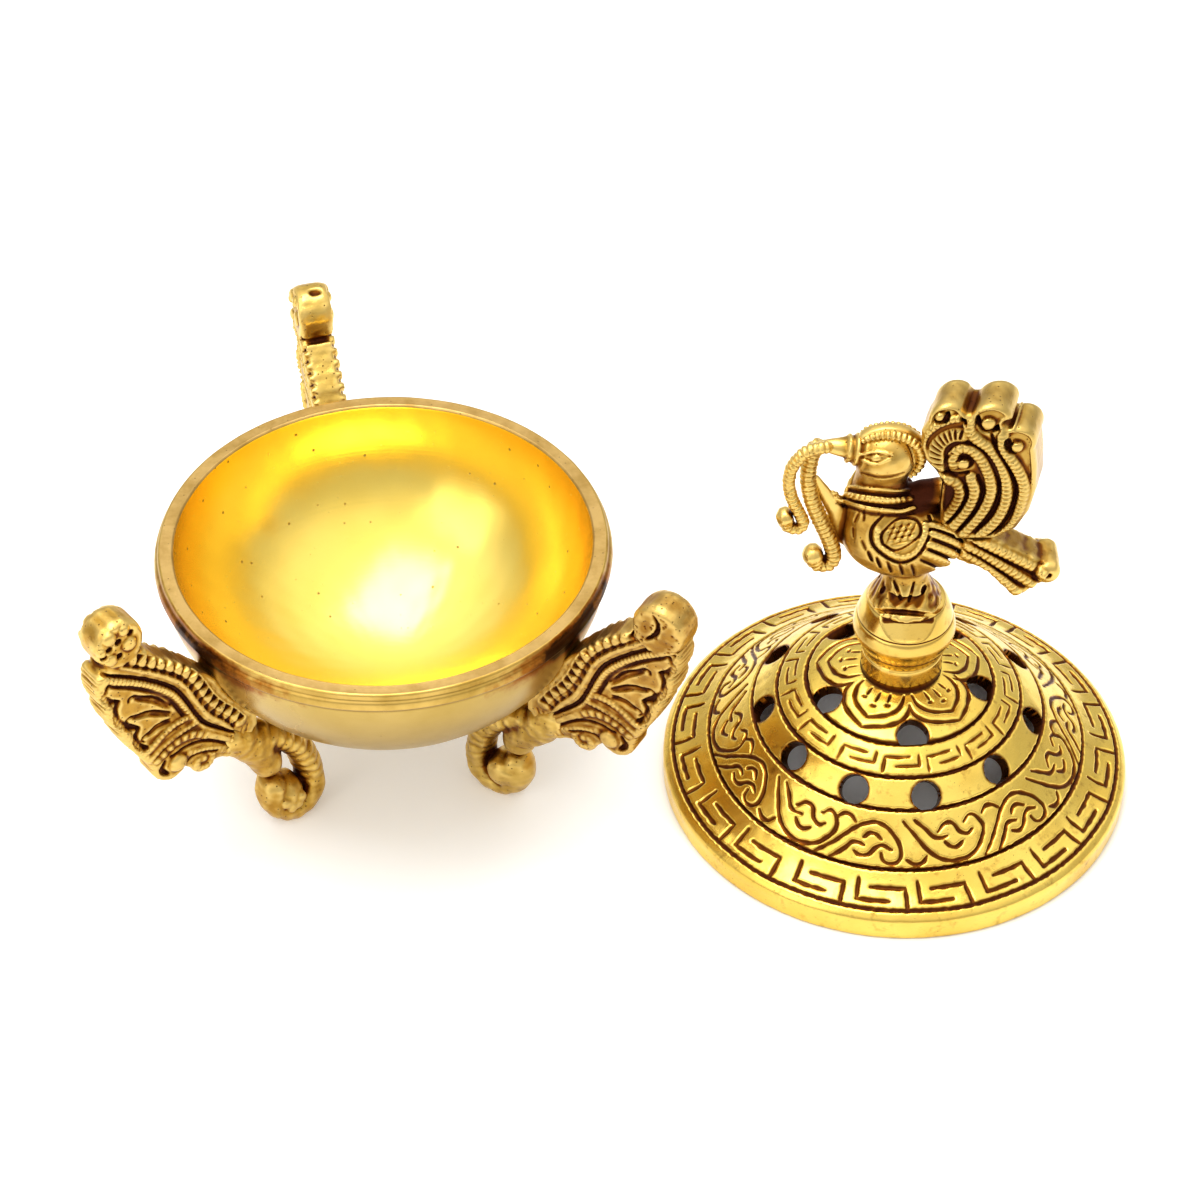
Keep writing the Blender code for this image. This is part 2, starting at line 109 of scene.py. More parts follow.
def smooth_curve(points, steps=12):
    """A Catmull-Rom curve through 2-D or 3-D points."""
    p = np.asarray(points, dtype=float)
    padded = np.vstack([2 * p[0] - p[1], p, 2 * p[-1] - p[-2]])
    t = (np.arange(steps) / steps)[:, None]
    spans = []
    for a, b, c, d in zip(padded, padded[1:], padded[2:], padded[3:]):
        spans.append(0.5 * (2 * b + (c - a) * t + (2 * a - 5 * b + 4 * c - d) * t ** 2
                            + (3 * b - a - 3 * c + d) * t ** 3))
    return np.vstack(spans + [p[-1:]])


def along(points):
    """Distance along a curve at each of its points."""
    steps = np.linalg.norm(np.diff(points, axis=0), axis=1)
    return np.concatenate([[0.0], np.cumsum(steps)])


def arc(centre, radius, start, end, steps):
    """Points of an arc from one angle to another, in degrees. Two radii make it an ellipse's."""
    across, up = np.broadcast_to(radius, 2)
    return [(centre[0] + across * math.cos(a), centre[1] + up * math.sin(a))
            for a in np.radians(np.linspace(start, end, steps + 1))]


def spun(radius, angle, height):
    """Points at these distances from a Z axis, angles about it, and heights."""
    return np.stack([radius * np.cos(angle), radius * np.sin(angle),
                     np.broadcast_to(height, radius.shape)], -1)


def smoothstep(low, high, value):
    """0 below low, 1 above high, and an S curve between them."""
    t = np.clip((value - low) / (high - low), 0.0, 1.0)
    return t * t * (3.0 - 2.0 * t)


def wobble(x, y, size, seed=0):
    """Smooth noise of about -1 to 1 from a few sine waves, size mm from crest to crest."""
    rng = np.random.default_rng(SEED + seed)
    total = np.zeros(np.broadcast(x, y).shape)
    waves = 5
    gain = 1.4
    for _ in range(waves):
        angle = rng.uniform(0, 2 * np.pi)
        phase = rng.uniform(0, 2 * np.pi)
        turns_per_mm = 2 * np.pi / (size * rng.uniform(*WAVE_SPREAD))
        total = total + np.sin(turns_per_mm * (x * np.cos(angle) + y * np.sin(angle)) + phase)
    return total / waves * gain


# ================================================================ strokes
def stroke_distance(x, y, points, width=1.0, taper=0.0):
    """Distance of each (x, y) from a polyline, less half its width, and the way along it.

    taper narrows both ends by that share of the width.
    """
    points = np.asarray(points, dtype=float)
    lengths = along(points)
    total = max(lengths[-1], 1e-6)
    best = np.full(x.shape, 1e9)
    where = np.zeros(x.shape)
    for a, b, start in zip(points, points[1:], lengths):
        dx, dy = b - a
        span = max(dx * dx + dy * dy, 1e-9)
        t = np.clip(((x - a[0]) * dx + (y - a[1]) * dy) / span, 0.0, 1.0)
        way = start + t * math.sqrt(span)
        half = width / 2 * (1.0 - taper * np.abs(2.0 * way / total - 1.0) ** 3)
        distance = np.hypot(x - a[0] - t * dx, y - a[1] - t * dy) - half
        closer = distance < best
        best = np.where(closer, distance, best)
        where = np.where(closer, way, where)
    return best, where


# ================================================================ materials
class Graph:
    """A small helper that adds nodes to one material and links them."""

    def __init__(self, name):
        self.material = bpy.data.materials.new(name)
        self.material.use_nodes = True
        self.tree = self.material.node_tree
        self.shader = self.tree.nodes["Principled BSDF"]

    def link(self, value, socket):
        if isinstance(value, bpy.types.NodeSocket):
            self.tree.links.new(value, socket)
        else:
            socket.default_value = value

    def node(self, kind, **settings):
        made = self.tree.nodes.new(kind)
        for key, value in settings.items():
            setattr(made, key, value)
        return made

    def place(self, scale=(1.0, 1.0, 1.0)):
        coordinates = self.node("ShaderNodeTexCoord").outputs["Object"]
        mapping = self.node("ShaderNodeMapping")
        mapping.inputs["Scale"].default_value = scale
        self.link(coordinates, mapping.inputs["Vector"])
        return mapping.outputs["Vector"]

    def noise(self, per_metre, detail=3.0, roughness=0.55, scale=(1.0, 1.0, 1.0)):
        made = self.node("ShaderNodeTexNoise")
        self.link(self.place(scale), made.inputs["Vector"])
        made.inputs["Scale"].default_value = per_metre
        made.inputs["Detail"].default_value = detail
        made.inputs["Roughness"].default_value = roughness
        return made.outputs["Fac"]

    def pits(self, per_metre, low, high):
        """1 in the middle of scattered small spots, 0 elsewhere."""
        made = self.node("ShaderNodeTexVoronoi")
        self.link(self.place(), made.inputs["Vector"])
        made.inputs["Scale"].default_value = per_metre
        return self.span(made.outputs["Distance"], low, high, 1.0, 0.0)

    def attribute(self, name):
        return self.node("ShaderNodeAttribute", attribute_name=name).outputs["Fac"]

    def span(self, value, low, high, to_low=0.0, to_high=1.0):
        made = self.node("ShaderNodeMapRange")
        for socket, number in zip(("Value", "From Min", "From Max", "To Min", "To Max"),
                                  (value, low, high, to_low, to_high)):
            self.link(number, made.inputs[socket])
        return made.outputs["Result"]

    def math(self, operation, a, b=0.0):
        made = self.node("ShaderNodeMath", operation=operation)
        self.link(a, made.inputs[0])
        self.link(b, made.inputs[1])
        return made.outputs["Value"]

    def times(self, value, factor):
        return self.math("MULTIPLY", value, factor)

    def mix(self, factor, a, b):
        made = self.node("ShaderNodeMix", data_type="RGBA")
        self.link(factor, made.inputs["Factor"])
        self.link((*a, 1.0) if isinstance(a, tuple) else a, made.inputs[6])
        self.link((*b, 1.0) if isinstance(b, tuple) else b, made.inputs[7])
        return made.outputs[2]

    def spots(self, mask, share, colour, spot_colour):
        """Lays spots of another colour over a colour, a share of it where the mask is 1."""
        return self.mix(self.times(mask, share), colour, spot_colour)

    def bump(self, height, depth_mm):
        made = self.node("ShaderNodeBump")
        made.inputs["Distance"].default_value = depth_mm * MM
        made.inputs["Strength"].default_value = 1.0
        self.link(height, made.inputs["Height"])
        return made.outputs["Normal"]

    def finish(self, colour, roughness, metallic=1.0, normal=None):
        self.link((*colour, 1.0) if isinstance(colour, tuple) else colour,
                  self.shader.inputs["Base Color"])
        self.link(roughness, self.shader.inputs["Roughness"])
        self.link(metallic, self.shader.inputs["Metallic"])
        if normal:
            self.link(normal, self.shader.inputs["Normal"])
        return self.material


DARK = (0.050, 0.008, 0.0005)
BROWN = (0.175, 0.052, 0.003)


def patinated_brass(name, bright, dull, rough, cavity_low=0.12, cavity_high=0.55, grain=0.02,
                    pit_share=0.10, rubbed=None):
    """Brass darkened in its recesses by dirt and painted shade, with rubbed edges, slow colour drift and
    casting pits.
    """
    graph = Graph(name)
    drift = graph.noise(55.0, 4.0)
    spots = graph.noise(420.0, 3.0, 0.65)
    colour = graph.mix(graph.span(drift, 0.38, 0.62), bright, dull)
    colour = graph.mix(graph.span(spots, 0.56, 0.78, 0.0, 0.55), colour, BROWN)
    cavity = graph.attribute("cavity")
    rag = graph.math("ADD", cavity, graph.span(spots, 0.2, 0.8, -0.10, 0.10))
    if rubbed:
        colour = graph.mix(graph.span(rag, -0.55, -0.12, 0.85, 0.0), colour, rubbed)
    brown = graph.span(rag, cavity_low, cavity_high * 0.7)
    dark = graph.span(rag, cavity_high * 0.75, cavity_high * 1.9)
    colour = graph.mix(brown, colour, BROWN)
    colour = graph.mix(dark, colour, DARK)
    holes = graph.pits(900.0, pit_share * 0.6, pit_share * 1.4)
    colour = graph.spots(holes, 0.85, colour, DARK)
    roughness = graph.span(drift, 0.3, 0.7, rough * 0.85, rough * 1.2)
    roughness = graph.math("ADD", roughness, graph.times(dark, 0.3))
    metallic = graph.span(dark, 0.0, 1.0, 1.0, 0.88)
    marks = graph.noise(1500.0, 4.0, 0.6)
    height = graph.math("SUBTRACT", marks, graph.times(holes, 2.0))
    return graph.finish(colour, roughness, metallic, graph.bump(height, grain))


# ================================================================ lid
LID_WALL = 2.4
LID_BORE_R = 3.0                # of the hole for the finial's screw
GROOVE_RADII = (43.2, 36.3, 28.15, 23.45, 17.95)

# The dome's outer section, as (radius, height) from its foot to the edge of its bore.
DOME = smooth_curve([(44.55, 0.0), (45.0, 0.45), (45.0, 2.4), (45.0, 4.2), (44.35, 5.15),
                     (GROOVE_RADII[0], 5.9), (39.8, 7.3), (GROOVE_RADII[1], 9.6), (32.4, 13.1),
                     (GROOVE_RADII[2], 17.1), (GROOVE_RADII[3], 21.1), (GROOVE_RADII[4], 24.4),
                     (13.2, 26.3), (8.6, LID_TOP_Z), (6.0, LID_TOP_Z), (LID_BORE_R, LID_TOP_Z)], 24)
DOME_WAY = along(DOME)


def dome_point(s):
    """The dome's outer point at a distance s along its section."""
    return np.stack([np.interp(s, DOME_WAY, DOME[:, k]) for k in (0, 1)], axis=-1)


def lid_section(s):
    """The dome's outer point and outward normal at a distance s along its section."""
    nudge = 0.35
    tangent = dome_point(s + nudge) - dome_point(s - nudge)
    tangent /= np.linalg.norm(tangent, axis=-1, keepdims=True)
    return dome_point(s), np.stack([tangent[..., 1], -tangent[..., 0]], axis=-1)


def s_at_radius(radius):
    """Distance along the section where the dome has this radius."""
    return float(np.interp(radius, DOME[::-1, 0], DOME_WAY[::-1]))


GROOVE_S = [s_at_radius(radius) for radius in GROOVE_RADII]
GROOVE_WIDTH = 0.9
GROOVE_DEPTH = 0.5
CUT_DEPTH = 0.42
CUT_WIDTH = 0.85
FINE_CUT_WIDTH = 0.62
TAPER = 0.35
LINING = 0.60                   # how sooty the underside is, on the scale of a cavity
FAR = 99.0                      # mm: a distance further than any on the lid


def carve(depth, x, y, strokes, width, cut, taper):
    """Deepens a height field along each stroke that comes near it."""
    for stroke in strokes:
        line = smooth_curve(stroke, 5) if len(stroke) > 2 else np.asarray(stroke, float)
        reach = width + 0.6
        near = ((x > line[:, 0].min() - reach) & (x < line[:, 0].max() + reach)
                & (y > line[:, 1].min() - reach) & (y < line[:, 1].max() + reach))
        if not near.any():
            continue
        ragged = 0.10 * wobble(x[near], y[near], 2.3, 3)
        distance, _ = stroke_distance(x[near], y[near], line, width, taper)
        groove = cut * (1.0 - smoothstep(-0.32, 0.20, distance + ragged))
        depth[near] = np.maximum(depth[near], groove)


# Hand-cut motifs. Angles are degrees from the motif's start; heights are mm up the section.
# A level is a height inside the band where a motif is cut.
KEY_LEVEL, SCROLL_LEVEL, SMALL_KEY_LEVEL, PETAL_LEVEL = 10.0, 20.0, 35.0, 46.0
LARGE_KEY = [[(0.0, 12.6), (0.5, 8.8)], [(0.3, 8.7), (9.0, 8.8)],
             [(3.6, 11.3), (13.1, 11.4)], [(13.2, 11.4), (13.6, 7.4)]]
LARGE_KEY_AT = [-67.7, -50.2, -30.8, -13.8, 2.8, 20.8, 38.5, 55.5, 73.5]
SMALL_KEY = [[(0.0, 32.9), (0.2, 35.7)], [(0.2, 35.9), (13.6, 36.1)],
             [(6.0, 34.2), (18.0, 34.4)], [(18.2, 34.3), (18.4, 36.4)]]
SMALL_KEY_AT = [-60.5, -34.5, -11.5, 11.0, 33.8, 57.0, 80.0]
SCROLL = [
    [(0.0, 15.4), (4.4, 18.0), (9.4, 21.2), (13.5, 22.8), (17.8, 23.4), (22.0, 22.5), (25.4, 20.2),
     (26.7, 17.9), (25.5, 16.3), (23.0, 15.9), (21.0, 16.5), (20.3, 17.8)],
    [(4.9, 15.3), (8.4, 17.4), (10.5, 18.9), (12.6, 19.2), (14.6, 18.8)],
    [(14.1, 20.3), (15.7, 21.2), (18.0, 21.2), (20.0, 20.3)],
    [(11.6, 17.5), (13.7, 16.9), (16.2, 17.2), (18.2, 18.6), (20.6, 19.2), (23.4, 18.5)],
    [(3.6, 23.0), (5.7, 23.9), (8.4, 23.7), (10.4, 22.7)],
    [(27.2, 23.9), (31.7, 20.9), (36.0, 17.9), (40.0, 16.3), (44.5, 15.8), (50.0, 16.5),
     (54.0, 18.8), (55.6, 20.9), (54.0, 22.9), (51.6, 23.5), (49.2, 22.5)],
    [(31.3, 24.1), (35.0, 22.3), (37.5, 20.8), (40.0, 20.4), (42.3, 20.6)],
    [(39.4, 21.6), (41.8, 22.9), (44.8, 22.8), (46.9, 21.0), (49.4, 20.2), (51.4, 20.8)],
    [(41.2, 19.5), (43.2, 18.4), (45.2, 18.3), (47.2, 19.1)],
    [(28.4, 16.7), (30.7, 15.9), (33.2, 16.1), (34.6, 17.3)],
]
SCROLL_AT = [-79.9, -28.5, 24.6]
PETAL = [[(0.0, 40.5), (9.0, 41.4), (19.0, 42.3), (27.0, 43.4), (32.5, 44.8), (35.8, 46.6)],
         [(0.0, 42.8), (8.0, 43.6), (16.0, 44.4), (22.5, 45.5), (27.5, 46.9), (30.5, 48.6)]]
STAMENS = [[(0.0, 46.4), (0.0, 48.4)], [(-12.5, 47.0), (-13.0, 48.6)], [(12.5, 47.0), (13.0, 48.6)],
           [(-2.2, 45.4), (2.2, 45.4)], [(-15.5, 46.3), (-11.5, 46.3)], [(11.5, 46.3), (15.5, 46.3)]]


@dataclass
class Holes:
    """A ring of smoke holes, drilled by hand at uneven angles."""
    pitch: float                # radius of the ring
    radius: float
    angles: tuple


OUTER_HOLES = Holes(26.1, 2.8, (-150, -118, -84, -53, -22, 8, 42, 77, 115, 147, 178))
INNER_HOLES = Holes(15.9, 3.0, (-139, -65, 5, 77, 140))


def all_round(first_angles, count):
    """The angles given, and the rest of count motifs spread evenly over what is left."""
    rest = count - len(first_angles)
    free = 360.0 - (first_angles[-1] - first_angles[0])
    return first_angles + [first_angles[-1] + free * (k + 1) / (rest + 1) for k in range(rest)]


def engrave(theta, s, radius):
    """Depth cut into the dome at each (degrees, mm up the section)."""
    depth = np.zeros(theta.shape)
    mm_per_degree = math.radians(radius)
    arc_mm = theta * mm_per_degree
    for groove in GROOVE_S:
        waver = 0.10 * wobble(arc_mm, 0.0, 23.0, 1)
        ragged = 0.09 * wobble(arc_mm, s, 1.7, 2)
        distance = np.abs(s - groove - waver) - GROOVE_WIDTH / 2 + ragged
        depth = np.maximum(depth, GROOVE_DEPTH * (1.0 - smoothstep(-0.38, 0.15, distance)))

    def cut(level, strokes, angles, width, how_deep=CUT_DEPTH, sides=(1,), taper=TAPER):
        if not s.min() < level < s.max():
            return
        for angle in angles:
            for side in sides:
                for lap in (-360.0, 0.0, 360.0):
                    placed = [[((angle + side * x + lap) * mm_per_degree, y) for x, y in stroke]
                              for stroke in strokes]
                    carve(depth, arc_mm, s, placed, width, how_deep, taper)

    cut(KEY_LEVEL, LARGE_KEY, all_round(LARGE_KEY_AT, 20), CUT_WIDTH, taper=0.25)
    cut(SCROLL_LEVEL, SCROLL, all_round(SCROLL_AT, 7), CUT_WIDTH)
    cut(SMALL_KEY_LEVEL, SMALL_KEY, all_round(SMALL_KEY_AT, 15), FINE_CUT_WIDTH, CUT_DEPTH * 0.75)
    angles = INNER_HOLES.angles
    tips = [(a + b) / 2 for a, b in zip(angles, angles[1:])]
    tips.append((angles[-1] + angles[0] + 360.0) / 2)
    cut(PETAL_LEVEL, PETAL, tips, 0.72, sides=(1, -1))
    cut(PETAL_LEVEL, STAMENS, tips, FINE_CUT_WIDTH)
    return depth


def hole_grid(theta, s, holes):
    """Moves grid points off the smoke holes onto their rims.

    Also returns which points lay inside a hole, and each point's distance from the nearest rim.
    """
    centre_s = s_at_radius(holes.pitch)
    mm_per_degree = math.radians(holes.pitch)
    inside = np.zeros(theta.shape, dtype=bool)
    rim = np.full(theta.shape, FAR)
    for number, angle in enumerate(holes.angles):
        out_of_line = 0.25 * math.sin(number * 2.4)
        dx = ((theta - angle + 180.0) % 360.0 - 180.0) * mm_per_degree
        dy = s - centre_s - out_of_line
        distance = np.hypot(dx, dy)
        hole_inside = distance < holes.radius
        inside |= hole_inside
        push = np.where(hole_inside, holes.radius / np.maximum(distance, 0.05) - 1.0, 0.0)
        theta = theta + push * dx / mm_per_degree
        s = s + push * dy
        rim = np.minimum(rim, np.abs(distance - holes.radius))
    return theta, s, inside, rim


def underside(s):
    """Points of the dome's inner face, a wall's thickness under its outer one."""
    point, normal = lid_section(s)
    return (point - normal * LID_WALL).tolist()


def lid_band(name, s_low, s_high, columns, rows, material, holes=None, inner_path=None):
    """One ring of the dome between two engraved grooves, as a closed solid.

    Its inner face repeats the outer one where there are holes, or else follows inner_path.
    """
    s_line = np.linspace(s_low, s_high, rows)
    theta = np.broadcast_to(np.arange(columns) * 360.0 / columns - 180.0, (rows, columns)).copy()
    s = np.broadcast_to(s_line[:, None], (rows, columns)).copy()
    inside = np.zeros(theta.shape, dtype=bool)
    rim = np.full(theta.shape, FAR)
    if holes:
        theta, s, inside, rim = hole_grid(theta, s, holes)
    mean_radius = float(dome_point(np.array([(s_low + s_high) / 2]))[0, 0])
    depth = engrave(theta, s, mean_radius)
    worn = 0.5
    depth = np.where(rim < worn, np.maximum(depth, 0.18 * (1.0 - rim / worn) ** 2), depth)
    arc_mm = theta * math.radians(mean_radius)
    height = -depth + 0.035 * wobble(arc_mm, s, 7.0, 5) + 0.02 * wobble(arc_mm, s, 2.6, 6)
    point, normal = lid_section(s)
    outer_rz = point + normal * height[..., None]
    if holes:
        inner_rz = (point - normal * LID_WALL)[::-1]
        inner_theta = theta[::-1]
    else:
        path = np.asarray(inner_path or underside(np.linspace(s_high, s_low, 12)), float)
        inner_rz = np.broadcast_to(path[:, None, :], (len(path), columns, 2))
        inner_theta = np.broadcast_to(theta[:1], (len(path), columns))
    inner_cavity = np.full(inner_theta.shape, LINING)
    rz = np.concatenate([outer_rz, inner_rz])
    angles = np.radians(np.concatenate([theta, inner_theta]) - 90.0)
    points = spun(rz[..., 0], angles, rz[..., 1])
    halo = np.exp(-np.maximum(rim, 0.0) / 0.5) * 0.55
    cavity = np.concatenate([np.maximum(depth / CUT_DEPTH, halo), inner_cavity])
    faces = ring_grid(len(points), columns)
    if holes:
        faces = band_with_holes(columns, np.concatenate([inside, inside[::-1]]), rows)
    return make_piece(name, points.reshape(-1, 3), faces, material, "lid", ["lid_dome"], LID_AXIS,
                      attributes={"cavity": cavity.reshape(-1)})


def band_with_holes(columns, inside, rows):
    """Leaves out the cells wholly inside a hole and walls the rest from face to face."""
    total = len(inside)
    row, column = np.meshgrid(np.arange(total), np.arange(columns), indexing="ij")
    next_row, next_column = (row + 1) % total, (column + 1) % columns
    empty = (inside[row, column] & inside[row, next_column] & inside[next_row, column]
             & inside[next_row, next_column])
    empty &= (row != rows - 1) & (row != total - 1)
    quads = ring_grid(total, columns, ~empty)
    walls = []
    outer_empty = empty[:rows - 1]

    def mirror(r, c):
        return (total - 1 - r) * columns + c

    for r, c in np.argwhere(outer_empty):
        n = (c + 1) % columns
        corners = [(r, c), (r, n), (r + 1, n), (r + 1, c)]
        neighbours = [(r - 1, c), (r, n), (r + 1, c), (r, (c - 1) % columns)]
        for k, (nr, nc) in enumerate(neighbours):
            if 0 <= nr < rows - 1 and outer_empty[nr, nc]:
                continue
            (ra, ca), (rb, cb) = corners[k], corners[(k + 1) % 4]
            walls.append((ra * columns + ca, rb * columns + cb, mirror(rb, cb), mirror(ra, ca)))
    return [tuple(q) for q in quads.tolist()] + walls


def make_lid():
    brass = patinated_brass("engraved_brass", (0.87, 0.62, 0.13), (0.75, 0.495, 0.085), 0.24,
                            cavity_low=0.16, cavity_high=0.62, grain=0.016, pit_share=0.07,
                            rubbed=(0.95, 0.74, 0.28))
    key_top, scroll_top, holes_top, small_key_top = GROOVE_S[1:]
    skirt_inside = underside(np.array([key_top])) + [
        (37.4, 6.3), (40.2, 4.7), (42.2, 3.8), (42.6, 3.2), (42.6, 1.6), (42.6, 0.3), (43.0, 0.0)]
    lid_band("lid_skirt_and_key", 0.0, key_top, 1152, 60, brass, inner_path=skirt_inside)
    lid_band("lid_scroll_ring", key_top, scroll_top, 900, 48, brass)
    lid_band("lid_outer_hole_ring", scroll_top, holes_top, 800, 30, brass, holes=OUTER_HOLES)
    lid_band("lid_small_key_ring", holes_top, small_key_top, 640, 30, brass)
    lid_band("lid_crown", small_key_top, DOME_WAY[-1], 560, 66, brass, holes=INNER_HOLES)


# ================================================================ cast shapes
BACKGROUND = 1.2                # mm: how far from a surface the fields are kept
CLOSE = 0.6                     # mm: reach of the small hollows that hold dirt
BROAD = 1.5                     # mm: reach of the wide hollows, where shade is painted
BROAD_SHARE = 0.9
HOLLOW_GAIN = 1.9               # from the depth of a hollow to how dark it goes: dirt in small ones, painted shade in wide ones
CAVITY_RANGE = (-1.0, 1.6)


def smooth_min(a, b, blend):
    """The lesser of two fields, with a fillet about as wide as blend where they cross."""
    blend = np.maximum(blend, 1e-6)
    h = np.clip(0.5 + 0.5 * (b - a) / blend, 0.0, 1.0)
    return b + (a - b) * h - blend * h * (1.0 - h)


def smooth_max(a, b, blend):
    return -smooth_min(-a, -b, blend)


def blur(field, radius, axis):
    """A running mean along one axis."""
    width = 2 * radius + 1
    pad = [(0, 0)] * field.ndim
    pad[axis] = (radius + 1, radius)
    total = np.cumsum(np.pad(field, pad, mode="edge"), axis=axis, dtype=np.float64)
    upper = np.take(total, range(width, total.shape[axis]), axis=axis)
    lower = np.take(total, range(0, total.shape[axis] - width), axis=axis)
    return ((upper - lower) / width).astype(np.float32)


class Solid:
    """A shape held as distances on a regular grid in mm, negative inside."""

    def __init__(self, low, high, voxel=0.2):
        self.low = np.asarray(low, float)
        self.voxel = voxel
        self.axes = [np.arange(l, h + voxel, voxel) for l, h in zip(low, high)]
        self.field = np.full([len(axis) for axis in self.axes], 9.0, np.float32)

    def window(self, low, high):
        """The slices and coordinates of the part of the grid between two corners."""
        cuts = []
        for axis, l, h in zip(self.axes, low, high):
            first = int(np.clip(np.searchsorted(axis, l) - 1, 0, len(axis) - 1))
            last = int(np.clip(np.searchsorted(axis, h) + 1, first + 1, len(axis)))
            cuts.append(slice(first, last))
        x, y, z = (axis[cut] for axis, cut in zip(self.axes, cuts))
        return tuple(cuts), x[:, None, None], y[None, :, None], z[None, None, :]

    def join(self, low, high, shape, blend=0.3):
        """Adds a shape given as a function of (x, y, z), which fills no more than this box."""
        cuts, x, y, z = self.window(low, high)
        self.field[cuts] = smooth_min(self.field[cuts], shape(x, y, z), blend)

    def cut(self, low, high, shape, blend=0.2):
        """Takes a shape away."""
        cuts, x, y, z = self.window(low, high)
        self.field[cuts] = smooth_max(self.field[cuts], -shape(x, y, z), blend)

    def ball(self, centre, semi, blend=0.4):
        """Adds an ellipsoid with these half axes."""
        semi = np.asarray(semi, float)
        centre = np.asarray(centre, float)

        def shape(x, y, z):
            parts = [(v - c) / s for v, c, s in zip((x, y, z), centre, semi)]
            length = np.sqrt(sum(part * part for part in parts))
            return (length - 1.0) * semi.min() * (0.5 + 0.5 * np.clip(length, 0.0, 2.0))

        self.join(centre - semi - 1.5, centre + semi + 1.5, shape, blend)

    def tube(self, path, radius, blend=0.25, flat=1.0, cut=False):
        """Adds or cuts a rod along a path. radius is a function of the way along and of the
        whole length. flat over 1 widens the rod along Y. A path of (x, z) points has y = 0.
        """
        path = np.asarray(path, float)
        if path.shape[1] == 2:
            path = np.insert(path, 1, 0.0, axis=1)
        lengths = along(path)
        total = lengths[-1]
        reach = float(np.max(radius(lengths, total))) * max(flat, 1.0) + 1.8
        cuts, x, y, z = self.window(path.min(0) - reach, path.max(0) + reach)
        best = np.full(np.broadcast_shapes(x.shape, y.shape, z.shape), 1e9, np.float32)
        way = np.zeros(best.shape, np.float32)
        for a, b, start in zip(path, path[1:], lengths):
            d = (b - a) / np.array([1.0, flat, 1.0])
            span = float(d @ d)
            px, py, pz = x - a[0], (y - a[1]) / flat, z - a[2]
            t = np.clip((px * d[0] + py * d[1] + pz * d[2]) / span, 0.0, 1.0)
            distance = (px - t * d[0]) ** 2 + (py - t * d[1]) ** 2 + (pz - t * d[2]) ** 2
            closer = distance < best
            best = np.where(closer, distance, best)
            way = np.where(closer, start + t * float(np.linalg.norm(b - a)), way)
        shape = np.sqrt(best) - radius(way, total)
        field = self.field[cuts]
        self.field[cuts] = smooth_max(field, -shape, blend) if cut else smooth_min(field, shape, blend)

    def emboss(self, relief, lean=0.0):
        """Lifts the surface by a relief of (x, w), where w is z less lean times |y|."""
        for j, y in enumerate(self.axes[1]):
            self.field[:, j, :] -= relief.sample(self.axes[2] - lean * abs(y))

    def roughen(self, amount, size, seed):
        """Casts a little unevenness on the whole surface."""
        rng = np.random.default_rng(SEED + seed)
        x, y, z = np.meshgrid(*self.axes, indexing="ij", sparse=True)
        waves = 4
        for _ in range(waves):
            direction = rng.normal(size=3)
            direction *= 2 * np.pi / (size * rng.uniform(*WAVE_SPREAD) * np.linalg.norm(direction))
            phase = rng.uniform(0, 2 * np.pi)
            wave = np.sin(x * direction[0] + y * direction[1] + z * direction[2] + phase)
            self.field += (amount * wave / math.sqrt(waves)).astype(np.float32)

    def closed_field(self):
        """The field, clipped and with nothing inside it on the grid's own border."""
        field = np.clip(self.field, -BACKGROUND, BACKGROUND).astype(np.float32)
        for axis in range(3):
            border = [slice(None)] * 3
            for end in (0, -1):
                border[axis] = end
                field[tuple(border)] = BACKGROUND
        return field

    def openness(self, field):
        """Below 0 where the surroundings are mostly solid, as in a small or wide hollow; the wide blur
        stands for painted shade.
        """
        near = max(1, round(CLOSE / self.voxel))
        far = max(2, round(BROAD / self.voxel))
        small = field
        broad = np.clip(field, -BACKGROUND, 0.6)
        for axis in range(3):
            small = blur(blur(small, near, axis), near - 1, axis)
            broad = blur(blur(broad, far, axis), far, axis)
        return small / CLOSE + BROAD_SHARE * (broad + 0.10) / BROAD

    def mesh(self):
        """Points in mm, faces, and how deep each point lies in a hollow (or out on an edge)."""
        field = self.closed_field()
        grid = openvdb.FloatGrid(background=BACKGROUND)
        grid.copyFromArray(field)
        points, triangles, quads = grid.convertToPolygons(isovalue=0.0, adaptivity=0.0)
        faces = [tuple(face[::-1]) for part in (triangles, quads) for face in part.tolist()]
        openness = self.openness(field)
        index = np.clip(points, 0, np.array(field.shape) - 1.001)
        corner = index.astype(int)
        t = index - corner
        open_here = np.zeros(len(points))
        for step in np.ndindex(2, 2, 2):
            weight = np.prod(np.abs(1 - np.array(step) - t), axis=1)
            open_here += weight * openness[tuple((corner + step).T)]
        return points * self.voxel + self.low, faces, -open_here


def traced(points, smooth):
    """The points as they are, or the smooth curve through them."""
    points = np.asarray(points, float)
    return smooth_curve(points, 6) if smooth and len(points) > 2 else points


